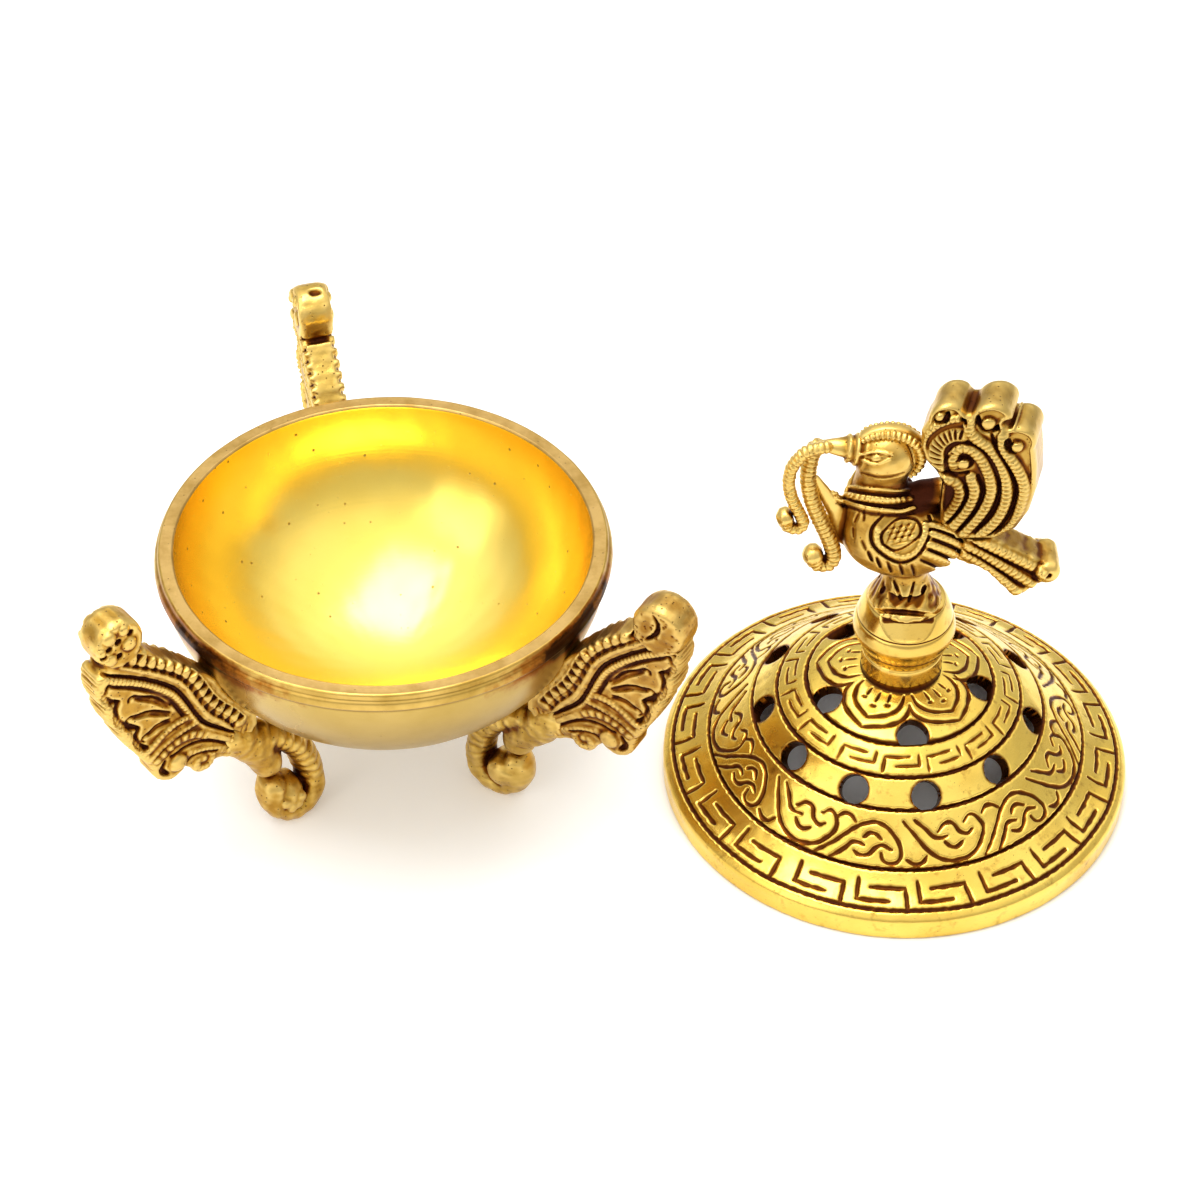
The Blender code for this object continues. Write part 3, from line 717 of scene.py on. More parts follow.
class Relief:
    """Heights in mm drawn on a side view: x across and w up."""

    def __init__(self, x_axis, w_axis):
        self.w_axis = w_axis
        self.x, self.w = np.meshgrid(x_axis, w_axis, indexing="ij")
        self.height = np.zeros(self.x.shape)
        self.ground = np.zeros(self.x.shape)

    def step(self, outline, rise, round_off=0.35):
        """Raises the ground inside an outline, or lowers it; ridges drawn later stand on it."""
        inside = 1.0 - smoothstep(-round_off, round_off, outline_distance(self.x, self.w, outline))
        self.ground = self.ground + rise * inside
        self.height = self.height + rise * inside

    def raise_disc(self, centre, radius, height):
        """Flattens a disc to a height, whatever was drawn there."""
        distance = np.hypot(self.x - centre[0], self.w - centre[1])
        share = 1.0 - smoothstep(radius - 0.3, radius, distance)
        self.height = self.height * (1.0 - share) + height * share
        self.ground = self.ground * (1.0 - share) + height * share

    def near(self, points, reach):
        """Which grid points may lie within reach of a line."""
        low, high = points.min(0) - reach, points.max(0) + reach
        return (self.x > low[0]) & (self.x < high[0]) & (self.w > low[1]) & (self.w < high[1])

    def ridge(self, points, width, height, pitch=0.0, share=0.5, skew=0.0, smooth=True, taper=0.0):
        """A rounded ridge along a line; pitch adds ribs across it, cut down by share."""
        line = traced(points, smooth)
        where = self.near(line, width)
        if not where.any():
            return
        x, w = self.x[where], self.w[where]
        distance, way = stroke_distance(x, w, line, 0.0)
        half = width / 2 * (1.0 - taper * (1.0 - way / along(line)[-1]))
        crown = np.sqrt(np.clip(1.0 - (distance / np.maximum(half, 0.05)) ** 2, 0.0, 1.0))
        if pitch:
            phase = (way + skew * distance) / pitch
            rib = np.abs(np.sin(math.pi * phase)) ** 0.7
            crown = crown * (1.0 - share + share * rib)
        ground = self.ground[where]
        risen = ground + (height - ground) * crown
        before = self.height[where]
        self.height[where] = np.where(crown > 0.0, np.maximum(before, risen), before)

    def groove(self, points, width, depth, smooth=True, taper=0.4):
        """A cut line with soft edges, narrower at its ends by the taper."""
        line = traced(points, smooth)
        where = self.near(line, width + 0.8)
        if not where.any():
            return
        x, w = self.x[where], self.w[where]
        distance, _ = stroke_distance(x, w, line, width, taper)
        cut = depth * (1.0 - smoothstep(-0.35, 0.18, distance))
        self.height[where] -= cut

    def dome(self, centre, radius, height):
        """A round bump on the plain face, which hides whatever is lower than it."""
        distance = np.hypot(self.x - centre[0], self.w - centre[1]) / radius
        bulge = height * np.sqrt(np.clip(1.0 - distance ** 2, 0.0, 1.0))
        self.height = np.where(distance < 1.0, np.maximum(self.height, bulge), self.height)

    def boss(self, centre, radius, height):
        """Adds a bump on top of whatever is there, ringed by a slight dip."""
        distance = np.hypot(self.x - centre[0], self.w - centre[1]) / radius
        self.height = self.height + height * np.sqrt(np.clip(1.0 - distance ** 2, 0.0, 1.0))
        self.height = self.height - 0.2 * height * np.exp(-((distance - 1.1) / 0.15) ** 2)

    def pit(self, centre, radius, depth):
        """A round hole with sloping sides."""
        distance = np.hypot(self.x - centre[0], self.w - centre[1])
        self.height -= depth * (1.0 - smoothstep(radius * 0.4, radius, distance))

    def sample(self, w):
        """The heights in columns at any w, straight between the grid's own."""
        step = self.w_axis[1] - self.w_axis[0]
        place = np.clip((w - self.w_axis[0]) / step, 0, len(self.w_axis) - 1.001)
        index = place.astype(int)
        t = place - index
        return self.height[:, index] * (1.0 - t) + self.height[:, index + 1] * t


def outline_distance(x, z, points):
    """Signed distance from a closed outline, negative inside."""
    points = np.asarray(points, float)
    distance = np.full(np.broadcast_shapes(x.shape, z.shape), 1e9)
    inside = np.zeros(distance.shape, dtype=bool)
    for a, b in zip(points, np.roll(points, -1, axis=0)):
        d = b - a
        t = np.clip(((x - a[0]) * d[0] + (z - a[1]) * d[1]) / max(d @ d, 1e-9), 0.0, 1.0)
        distance = np.minimum(distance, np.hypot(x - a[0] - t * d[0], z - a[1] - t * d[1]))
        crosses = (a[1] > z) != (b[1] > z)
        if a[1] != b[1]:
            inside ^= crosses & (x < a[0] + (z - a[1]) / (b[1] - a[1]) * d[0])
    return np.where(inside, -distance, distance)


def sooty(centre, reach, strength=1.3):
    """Painted shade round a point of the XZ plane, for a nook between two pieces."""
    return lambda points: strength * np.exp(-((points[:, 0] - centre[0]) ** 2
                                              + (points[:, 2] - centre[1]) ** 2) / reach ** 2)


def cast_piece(name, solid, material, body, nodes, origin, turn=0.0, slide=0.0, lean=0.0,
               lean_height=1.0, shear=(0.0, 0.0), soot=None):
    """Makes a cast shape's mesh and places it.

    lean moves its foot sideways; shear moves its far side along X, then all of it.
    """
    points, faces, depth = solid.mesh()
    cavity = depth * HOLLOW_GAIN
    # painted shade in nooks between pieces, and any real dirt, adds to the cavity
    if soot:
        cavity = cavity + soot(points)
    points[:, 0] += shear[0] * points[:, 1] + shear[1]
    points[:, 1] += slide + lean * (1.0 - points[:, 2] / lean_height)
    return make_piece(name, points, faces, material, body, nodes, origin, turn,
                      {"cavity": np.clip(cavity, *CAVITY_RANGE)}, sharp=85.0)


# ================================================================ bowl
@dataclass
class Leg:
    """Where a leg is brazed on and how its curl, foot and heat stain differ from the others'."""
    azimuth: float              # degrees round the bowl
    sideways: float             # how far the wing's plane passes beside the bowl's axis
    curl: tuple                 # distance from the bowl's axis, height, radius
    foot: float                 # the scroll foot's distance from the axis
    lean: float                 # how far the foot stands off the wing's plane
    stain: tuple                # degrees over which the brazing stained the bowl, and how much


LEGS = {"left": Leg(218.8, 0.4, (59.7, 63.6, 5.0), 26.8, 3.3, (26.0, 0.85)),
        "right": Leg(329.7, -0.2, (60.8, 60.4, 5.4), 25.0, 0.0, (24.0, 1.05)),
        "rear": Leg(105.5, 0.4, (60.0, 62.2, 5.2), 25.4, -0.4, (20.0, 0.7))}
BOWL_RIM_OUTER_R = 41.9
BOWL_RIM_INNER_R = 39.2
BOWL_BAND_R = 42.95
BOWL_BELLY_R = 42.5
BOWL_MEAN_R = 42.0
BOWL_DEPTH = 36.5
BOWL_WALL = 2.9
BOWL_LIP = 0.45                 # height of the rounded edge inside the rim
BOWL_COLUMNS = 240
BAND_FOOT = 4.3                 # how far below the rim the belly begins
BAND_MIDDLE = 3.0
BAND_SEAM = 3.9
BAND_STEP = 1.25
CALM_R = (4.0, 24.0)            # radii between which the waver and the dents come in


def belly_radius(height):
    level = (BOWL_RIM_Z - height) / BOWL_DEPTH
    return BOWL_BELLY_R * np.sqrt(np.maximum(0.0, 1.0 - level * level))


def bowl_section():
    """The bowl's closed section as stretches of (radius, height) points, one per finish."""
    top = BOWL_RIM_Z
    band_foot = math.asin(BAND_FOOT / BOWL_DEPTH)
    outer = [(BOWL_BELLY_R * math.cos(a), top - BOWL_DEPTH * math.sin(a))
             for a in np.linspace(math.pi / 2, band_foot, 90)]
    band = smooth_curve([(42.15, top - 3.75), (42.5, top - 3.45), (42.9, top - 3.1),
                         (BOWL_BAND_R, top - 2.6), (42.75, top - 1.7), (42.3, top - BAND_STEP),
                         (42.2, top - 0.9), (42.15, top - 0.35), (BOWL_RIM_OUTER_R, top - 0.05)], 4)
    rim = smooth_curve([(BOWL_RIM_OUTER_R - 0.2, top), (41.0, top - 0.02), (39.9, top - 0.02),
                        (BOWL_RIM_INNER_R + 0.35, top - 0.03), (39.25, top - 0.3)], 5)
    inner_depth = BOWL_DEPTH - BOWL_WALL - BOWL_LIP
    inner = [(BOWL_RIM_INNER_R * math.cos(a), top - BOWL_LIP - inner_depth * math.sin(a))
             for a in np.linspace(0.0, math.pi / 2, 124)]
    return [np.array(outer), band, rim, np.array(inner)]


def bowl_surface(section, way, angle):
    """Radius and height all over the bowl: a turned shape, a little out of round and dented."""
    around = angle[None, :] * BOWL_MEAN_R
    calm = smoothstep(*CALM_R, section[:, :1])
    oval = 0.12 * np.cos(2 * angle + 0.7)[None, :]
    three_lobed = 0.07 * np.cos(3 * angle + 2.0)[None, :]
    dents = calm * 0.03 * wobble(around, way[:, None], 9.0, 8)
    radius = section[:, :1] * (1.0 + (oval + three_lobed) / BOWL_MEAN_R) + dents
    radius = np.where(section[:, :1] < 0.01, 0.01, radius)
    height = section[:, 1:] + calm * 0.05 * np.cos(2 * angle + 1.0)[None, :]
    return radius, height + calm * 0.025 * wobble(around, way[:, None], 12.0, 9)


def bowl_stain(drop, way, angle):
    """How much the brazing of the legs stained the band and the belly under it."""
    degrees = np.degrees(angle)[None, :]
    stain = np.zeros(drop.shape)
    for leg in LEGS.values():
        spread, strength = leg.stain
        off = (degrees - leg.azimuth + 180.0) % 360.0 - 180.0
        stain = np.maximum(stain, strength * np.exp(-(off / spread) ** 2))
    level = np.exp(-np.clip(np.abs(drop - BAND_MIDDLE) - 1.7, 0.0, None) / 1.8)
    patches = 0.5 + 0.5 * wobble(angle[None, :] * BOWL_MEAN_R, 3.0 * way[:, None], 8.0, 10)
    return stain * level * (0.85 + 0.45 * patches)


def make_bowl():
    parts = bowl_section()
    section = np.vstack(parts)
    finish = np.concatenate([np.full(len(part), number) for number, part in enumerate(parts)])
    angle = np.arange(BOWL_COLUMNS) * 2 * np.pi / BOWL_COLUMNS
    way = along(section)
    radius, height = bowl_surface(section, way, angle)
    points = spun(radius, angle, height)
    drop = BOWL_RIM_Z - height
    outside = (finish <= 1)[:, None]
    stain = np.where(outside, bowl_stain(drop, way, angle), 0.0)
    seam = np.where(outside, np.exp(-np.abs(drop - BAND_SEAM) / 0.35), 0.0)
    step = np.where(outside, np.exp(-np.abs(drop - BAND_STEP) / 0.22), 0.0) * 0.45
    piece = make_piece("bowl_turned", points.reshape(-1, 3), ring_grid(len(section), BOWL_COLUMNS),
                       [bowl_outside_brass(), bowl_band_brass(), bowl_rim_brass(),
                        bowl_inside_brass()],
                       "bowl", ["bowl"], BOWL_AXIS,
                       attributes={"stain": stain.reshape(-1),
                                   "cavity": np.maximum(seam, step).reshape(-1),
                                   "way": np.repeat(way, BOWL_COLUMNS)},
                       sharp=60.0)
    finishes = np.repeat(finish, BOWL_COLUMNS)
    piece.data.polygons.foreach_set("material_index", finishes.astype(np.int32))
    return piece


STAIN_RED = (0.30, 0.105, 0.012)
STAIN_BLACK = (0.035, 0.012, 0.004)


def turned_marks(graph, per_mm, wander=6.0):
    """Fine rings left by the lathe: noise that runs along the section and barely round it."""
    combine = graph.node("ShaderNodeCombineXYZ")
    coordinates = graph.node("ShaderNodeSeparateXYZ")
    graph.link(graph.place(), coordinates.inputs[0])
    graph.link(graph.times(graph.attribute("way"), per_mm), combine.inputs[0])
    graph.link(graph.times(coordinates.outputs[0], wander), combine.inputs[1])
    graph.link(graph.times(coordinates.outputs[1], wander), combine.inputs[2])
    made = graph.node("ShaderNodeTexNoise")
    graph.link(combine.outputs[0], made.inputs["Vector"])
    made.inputs["Scale"].default_value = 1.0
    made.inputs["Detail"].default_value = 3.0
    return made.outputs["Fac"]


def bowl_inside_brass():
    graph = Graph("bowl_inside_brass")
    drift = graph.noise(38.0, 3.0)
    colour = graph.mix(graph.span(drift, 0.35, 0.65), (0.94, 0.71, 0.16), (0.90, 0.65, 0.12))
    specks = graph.pits(240.0, 0.05, 0.085)
    tiny = graph.pits(520.0, 0.03, 0.07)
    dots = graph.math("MAXIMUM", specks, graph.times(tiny, 0.6))
    colour = graph.spots(dots, 0.75, colour, (0.14, 0.06, 0.01))
    rings = turned_marks(graph, 2.4)
    scratches = graph.noise(900.0, 2.0, 0.5, (0.12, 1.0, 1.0))
    height = graph.math("ADD", graph.times(rings, 0.5), graph.times(scratches, 0.35))
    height = graph.math("SUBTRACT", height, dots)
    satin = graph.span(drift, 0.3, 0.7, 0.20, 0.28)
    roughness = graph.math("ADD", satin, graph.times(dots, 0.3))
    return graph.finish(colour, roughness, 1.0, graph.bump(height, 0.016))


def bowl_rim_brass():
    graph = Graph("bowl_rim_brass")
    drift = graph.noise(160.0, 4.0, 0.65)
    colour = graph.mix(graph.span(drift, 0.38, 0.66), (0.58, 0.38, 0.13), (0.39, 0.24, 0.065))
    holes = graph.pits(620.0, 0.05, 0.10)
    colour = graph.spots(holes, 0.8, colour, DARK)
    file_marks = graph.noise(1500.0, 3.0, 0.6, (1.0, 0.25, 1.0))
    height = graph.math("SUBTRACT", file_marks, graph.times(holes, 1.5))
    return graph.finish(colour, graph.span(drift, 0.3, 0.7, 0.34, 0.46), 1.0, graph.bump(height, 0.03))


def heated(graph, colour, spots, low=0.15, high=0.75):
    """Red-brown to black heat stain where the legs were brazed on."""
    stain = graph.math("ADD", graph.attribute("stain"), graph.span(spots, 0.25, 0.75, -0.30, 0.22))
    colour = graph.mix(graph.span(stain, low, high * 0.7), colour, STAIN_RED)
    return graph.mix(graph.span(stain, high * 0.75, high * 1.15), colour, STAIN_BLACK)


def bowl_band_brass():
    graph = Graph("bowl_band_brass")
    drift = graph.noise(130.0, 4.0, 0.6)
    spots = graph.noise(330.0, 4.0, 0.65)
    colour = graph.mix(graph.span(drift, 0.38, 0.66), (0.59, 0.39, 0.10), (0.42, 0.26, 0.05))
    colour = heated(graph, colour, spots)
    colour = graph.mix(graph.span(graph.attribute("cavity"), 0.2, 0.8), colour, (0.10, 0.035, 0.006))
    height = graph.noise(1100.0, 4.0, 0.6)
    return graph.finish(colour, graph.span(drift, 0.3, 0.7, 0.30, 0.44), 1.0, graph.bump(height, 0.03))


def bowl_outside_brass():
    graph = Graph("bowl_outside_brass")
    drift = graph.noise(42.0, 4.0)
    spots = graph.noise(260.0, 4.0, 0.65)
    colour = graph.mix(graph.span(drift, 0.36, 0.66), (0.53, 0.37, 0.11), (0.44, 0.295, 0.065))
    colour = heated(graph, colour, spots)
    colour = graph.mix(graph.span(graph.attribute("cavity"), 0.25, 0.9), colour, (0.12, 0.045, 0.008))
    specks = graph.pits(330.0, 0.03, 0.06)
    colour = graph.spots(specks, 0.7, colour, (0.16, 0.07, 0.015))
    height = graph.math("ADD", turned_marks(graph, 1.6), graph.times(graph.noise(800.0, 3.0), 0.4))
    return graph.finish(colour, graph.span(drift, 0.3, 0.7, 0.24, 0.36), 1.0, graph.bump(height, 0.012))


# ================================================================ legs
WING_BOX = ((33.0, -4.6, 20.0), (68.0, 4.6, 71.0))
WING_VOXEL = 0.23
WING_HALF = 3.05                # half the wing's thickness
CURL_HALF = 3.4
NECK = (36.2, 24.2)
FIELD_Z = -0.25                 # height of the sunk field between the raised ornaments
TOOTH_PITCH = 2.4
TOOTH_DEPTH = 0.95
HATCH_PITCH = 1.0               # of the hatching on the wing's outer edge
HATCH_HEIGHT = 0.16
CREVICE_R = 0.6                 # of the nick under the curl
FOOT_VOXEL = 0.25
FOOT_HALF = 6.0
FOOT_RING_R = 4.5
FOOT_RING_Z = 6.70
FOOT_TAPER = 0.12
FOOT_RIB_PITCH = 1.9
BALL_OFFSET = (1.6, -0.2)       # of the ball's centre from the scroll ring's
BALL_SEMI = (3.6, 4.1, 3.6)
BOSS_TURNS = (195.0, 245.0, 295.0, 345.0)
BOSS_PITCH = 1.7

# The cast ornament of a wing, as lines of (distance from the bowl's axis, height).
SPINE_BEADS = [(36.8, 30.6), (38.5, 33.6), (41.2, 37.2), (43.2, 41.0), (44.8, 45.2), (47.3, 49.8),
               (51.0, 53.6), (55.0, 57.0), (58.5, 59.8)]
SPINE_BORDER = [(38.8, 29.4), (40.6, 32.4), (43.4, 36.0), (45.6, 41.0), (47.8, 46.4), (51.4, 50.8),
                (56.2, 55.2), (60.0, 58.4)]
SPINE_ROPE = [(45.8, 36.4), (47.4, 40.0), (49.4, 44.6), (52.2, 48.2), (55.6, 51.6), (60.0, 54.8),
              (64.2, 57.4)]
OUTER_ROPE = [(64.4, 56.4), (64.5, 52.4), (63.4, 47.6), (61.8, 43.4), (60.2, 39.4), (58.7, 35.8),
              (57.2, 32.4)]
UPPER_LINK = [(46.6, 37.9), (50.0, 38.0), (53.6, 36.8), (56.6, 34.8)]
LOWER_LINK = [(45.4, 35.9), (50.0, 35.3), (54.0, 34.0), (56.8, 32.2)]
BEAD_LINK = [(43.6, 30.9), (47.0, 33.2), (51.0, 33.4), (55.0, 31.4)]
NECK_STRAND = [(37.6, 25.0), (41.6, 29.2), (44.4, 31.6)]
RIBBED_STRAND = [(38.6, 23.8), (43.0, 27.0), (48.2, 29.2)]
SMALL_CURL = [(44.0, 27.4), (43.4, 25.6), (44.6, 23.8), (46.6, 24.2), (46.8, 26.0), (45.4, 26.0)]
PETALS = [[(50.8, 42.8), (53.8, 46.6), (57.6, 49.2)], [(51.2, 41.2), (54.8, 43.8), (58.6, 44.8)],
          [(51.4, 39.6), (54.0, 39.8), (56.4, 38.8)]]
PANEL = [(46.4, 37.6), (48.2, 41.6), (50.6, 45.6), (54.2, 49.6), (59.2, 53.4), (64.0, 56.0),
         (63.6, 51.6), (62.2, 46.8), (60.6, 42.4), (59.0, 38.6), (57.4, 35.4), (52.0, 36.6)]
LOWER_PANEL = [(43.4, 29.6), (46.4, 31.4), (50.8, 31.8), (55.0, 29.8), (56.2, 31.8), (51.6, 35.0),
               (46.0, 35.6)]
CRESCENTS = [[(62.9, 55.4), (64.1, 53.4), (63.4, 51.4), (61.4, 50.2)],
             [(61.3, 50.0), (62.3, 48.0), (61.6, 44.6), (58.0, 41.4)],
             [(58.0, 41.0), (59.0, 39.4), (58.3, 37.0), (56.8, 35.6)]]
SPINE_GROOVE = [(37.4, 27.6), (40.6, 30.6), (44.2, 34.4), (46.0, 38.0), (48.4, 44.0), (50.6, 47.6),
                (55.0, 52.0), (60.0, 55.9), (64.4, 58.8)]
BEAD_GROOVE = [(37.9, 30.6), (39.8, 33.8), (42.4, 37.0), (44.4, 41.0), (46.2, 45.6), (49.2, 50.0),
               (53.4, 53.8), (58.4, 57.6)]
NECK_GROOVES = [[(38.2, 25.0), (43.8, 29.6), (48.0, 31.0), (52.2, 30.6)],
                [(42.2, 26.2), (46.6, 28.0), (49.0, 27.4)]]
LOBE_BEAD = (50.9, 28.4)
LOBE_COMMA = [(53.4, 30.2), (54.3, 28.2), (53.0, 26.3)]
CURL_BOSSES = [(-1.7, -0.4, 1.5), (2.1, 2.7, 1.35), (4.0, 0.4, 0.9), (2.3, -2.3, 1.35),
               (-0.9, 3.2, 1.1)]
CURL_PITS = [(0.4, 1.1), (2.4, 0.3), (0.5, -2.2), (-2.2, 1.9), (3.6, -1.0)]


def wing_outline(curl):
    x, z, radius = curl
    wall = [(belly_radius(height) - 0.25, height) for height in (28.6, 32.5, 36.5, 40.5, 44.0)]
    spine = [(44.8, 48.3), (48.4, 52.3), (52.4, 55.8), (x - radius + 0.5, z - 3.2)]
    roll = arc((x, z), radius, 172.0, -48.0, 30)
    outer_edge = [(x + 3.3, z - 4.6), (65.0, 57.4), (65.5, 55.0), (65.1, 52.0), (64.1, 50.4),
                  (64.4, 48.2), (63.5, 45.2), (62.1, 43.5), (62.1, 41.6), (60.6, 38.2), (58.6, 34.6),
                  (56.7, 31.0)]
    large_lobe = arc((52.2, 28.4), 3.7, -5.0, -140.0, 12)
    small_lobe = arc((45.4, 25.2), 2.7, -10.0, -150.0, 10)
    neck = [(41.4, 23.6), (38.4, 21.8)]
    return wall + spine + roll + outer_edge + large_lobe + small_lobe + neck


def unit(vector):
    return vector / np.linalg.norm(vector)


def petal(relief, line):
    """A petal's vein: a soft channel under a fine cut line that hooks over at its outer tip."""
    start, end = np.array(line[0]), np.array(line[-1])
    run = unit(end - start)
    across = np.array([-run[1], run[0]])
    relief.groove([np.array(p) - 0.55 * across for p in line], 1.35, 0.50, taper=0.8)
    hook = [end + a * run - b * across for a, b in ((0.8, 0.1), (1.3, 0.7), (1.0, 1.4))]
    relief.groove([np.array(p) for p in line] + hook, 0.65, 0.62, taper=0.25)


def saw_teeth(relief, line, pitch, slant, depth):
    """Pairs of wedge-shaped notches across a row, deep at the bowl's side, shallow at the other."""
    curve = smooth_curve(line, 8)
    way = along(curve)
    for at in np.arange(0.8, way[-1], pitch):
        middle = np.array([np.interp(at, way, curve[:, k]) for k in (0, 1)])
        ahead = np.array([np.interp(at + 0.5, way, curve[:, k]) for k in (0, 1)])
        run = unit(ahead - middle)
        outwards = np.array([run[1], -run[0]])
        tip = middle + 0.9 * outwards
        deep = [middle - 1.0 * outwards - 0.95 * run, middle - 1.0 * outwards + 0.95 * run, tip]
        base = middle + 1.9 * outwards + slant * run
        shallow = [base - 0.8 * run, base + 0.8 * run, middle + 0.3 * outwards]
        relief.step(deep, -depth, 0.22)
        relief.step(shallow, -0.45 * depth, 0.22)


def carve_wing(relief, curl, worn):
    """Draws a wing's ornament. worn from 0 to 1 flattens it and shortens the beads."""
    lift = 1.0 - 0.35 * worn
    relief.step(PANEL, FIELD_Z)
    relief.step(LOWER_PANEL, FIELD_Z * 0.8)
    relief.ridge(SPINE_BORDER, 1.2, 0.30)
    relief.ridge(SPINE_BEADS, 3.0, 0.45 * lift)
    saw_teeth(relief, SPINE_BEADS, TOOTH_PITCH, -0.5, TOOTH_DEPTH * lift)
    relief.ridge(SPINE_ROPE, 1.9, 0.42, pitch=1.0, share=0.8)
    relief.groove([(x + 1.25, z - 0.95) for x, z in SPINE_ROPE[1:]], 0.9, 0.50, taper=0.3)
    relief.ridge(OUTER_ROPE, 2.5, 0.40, pitch=1.15, share=0.6, skew=0.5)
    relief.ridge(UPPER_LINK, 1.5, 0.30, pitch=0.95, share=0.45)
    relief.ridge(LOWER_LINK, 1.4, 0.30, pitch=0.95, share=0.45)
    relief.ridge(BEAD_LINK, 1.9, 0.40, pitch=1.7, share=0.8)
    relief.ridge(NECK_STRAND, 1.5, 0.35)
    relief.ridge(RIBBED_STRAND, 1.6, 0.35, pitch=0.95, share=0.5)
    relief.ridge(SMALL_CURL, 1.5, 0.40, pitch=1.0, share=0.5)
    for line in PETALS:
        petal(relief, line)
    relief.dome(LOBE_BEAD, 2.0, 0.9)
    for line in CRESCENTS:
        relief.groove(line, 1.5, 0.75, taper=0.45)
    relief.groove(SPINE_GROOVE, 0.9, 0.85)
    relief.groove(BEAD_GROOVE, 0.45, 0.40)
    for line in NECK_GROOVES:
        relief.groove(line, 0.7, 0.55)
    relief.groove(LOBE_COMMA, 1.3, 0.8, taper=0.7)
    neck_ribs = 4
    for step in range(neck_ribs):
        shift = 1.25 * step
        ends = [(35.2 + shift, 28.6 - 0.2 * shift), (37.2 + shift, 22.4 + 0.5 * shift)]
        relief.groove(ends, 0.45, 0.25 + 0.25 * worn)
    carve_curl(relief, curl, worn)


def carve_curl(relief, curl, worn):
    """The end of the rolled-over curl: a rosette of bosses, or a worn face with a slot."""
    x, z, radius = curl
    relief.raise_disc((x, z), radius - 0.1, CURL_HALF - WING_HALF)
    if worn > 0.5:
        slot = [(x - 0.8, z + 4.0), (x + 0.2, z + 2.0), (x - 0.2, z - 0.4), (x - 2.2, z - 2.6)]
        relief.groove(slot, 0.9, 0.9, taper=0.7)
        rng = np.random.default_rng(SEED)
        for _ in range(26):
            angle = rng.uniform(0, 2 * np.pi)
            reach = radius * 0.85 * math.sqrt(rng.uniform(0, 1))
            relief.pit((x + reach * math.cos(angle), z + reach * math.sin(angle)),
                       rng.uniform(0.22, 0.42), 0.3)
        return
    for dx, dz, size in CURL_BOSSES:
        relief.boss((x + dx, z + dz), size, 0.55)
    for dx, dz in CURL_PITS:
        relief.pit((x + dx, z + dz), 0.85, 0.9)


def wing_edge(relief, curl):
    """Distance from the wing's outline, ragged, hatched on its outer side, nicked at the curl."""
    x, w = relief.x, relief.w
    ragged = 0.10 * wobble(x, w, 3.2, 20) + 0.05 * wobble(x, w, 1.5, 21)
    edge = outline_distance(x, w, wing_outline(curl)) + ragged
    crevice = (curl[0] - curl[2] + 0.1, curl[1] - 3.9)
    edge = smooth_max(edge, CREVICE_R - np.hypot(x - crevice[0], w - crevice[1]), 0.4)
    hatch = HATCH_HEIGHT * np.sin(2 * np.pi * w / HATCH_PITCH + 0.6 * x)
    outer_side = smoothstep(52.0, 58.0, x) * (1.0 - smoothstep(57.0, 59.0, w))
    return edge + hatch * outer_side


def make_wing(side, leg):
    worn = 1.0 if side == "right" else 0.15
    solid = Solid(*WING_BOX, WING_VOXEL)
    relief = Relief(solid.axes[0], solid.axes[2])
    carve_wing(relief, leg.curl, worn)
    half = WING_HALF + relief.height + 0.06 * wobble(relief.x, relief.w, 2.4, 22)
    face = np.abs(solid.axes[1])[None, :, None] - half[:, None, :]
    edge = wing_edge(relief, leg.curl)
    rounding = 0.8 + 0.7 * smoothstep(52.0, 60.0, relief.x)
    solid.field = smooth_max(face, edge[:, None, :], rounding[:, None, :]).astype(np.float32)
    if side == "rear":
        curl_x, curl_z, curl_r = leg.curl
        pit = [(curl_x - 1.2, y, curl_z + curl_r + 0.3) for y in (-0.4, -1.0)]
        solid.tube(pit, lambda way, total: 1.15, cut=True)
    solid.roughen(0.02, 1.8, 23)
    return cast_piece(f"{side}_leg_wing", solid, leg_brass(f"{side}_wing"), "bowl",
                      [f"leg_{side}_bracket"], BOWL_AXIS, leg.azimuth, leg.sideways)


def scroll_radius(rib_depth):
    """The foot's scroll: it thickens, then tapers, and its first half is ribbed."""
    def radius(way, total):
        ribs = np.abs(np.sin(np.pi * way / FOOT_RIB_PITCH + 0.4)) ** 0.7
        depth = rib_depth * (1.0 - smoothstep(0.40, 0.60, way / total))
        thick = 2.65 + 0.3 * smoothstep(0.0, 0.45, way / total)
        return thick * (1.0 - FOOT_TAPER * way / total) * (1.0 - depth + depth * ribs)
    return radius


def neck_radius(way, total):
    """The plump neck above the scroll, with two soft collars."""
    share = way / total
    collars = np.exp(-((share - 0.22) / 0.06) ** 2) + np.exp(-((share - 0.36) / 0.05) ** 2)
    return 3.95 - 0.65 * smoothstep(0.45, 1.0, share) + 0.16 * collars


def foot_bosses(solid, ball, worn):
    """Both faces of the ball: one broad swelling if worn, or a ring of small bosses."""
    x, z = ball
    for face in (-1, 1):
        if worn:
            solid.ball((x, face * 2.4, z + 0.2), (3.1, 2.2, 3.1), blend=0.6)
            continue
        for turn in np.radians(BOSS_TURNS):
            boss = (x + BOSS_PITCH * math.cos(turn), face * 3.5, z + BOSS_PITCH * math.sin(turn))
            solid.ball(boss, (1.15, 0.9, 1.15), blend=0.2)


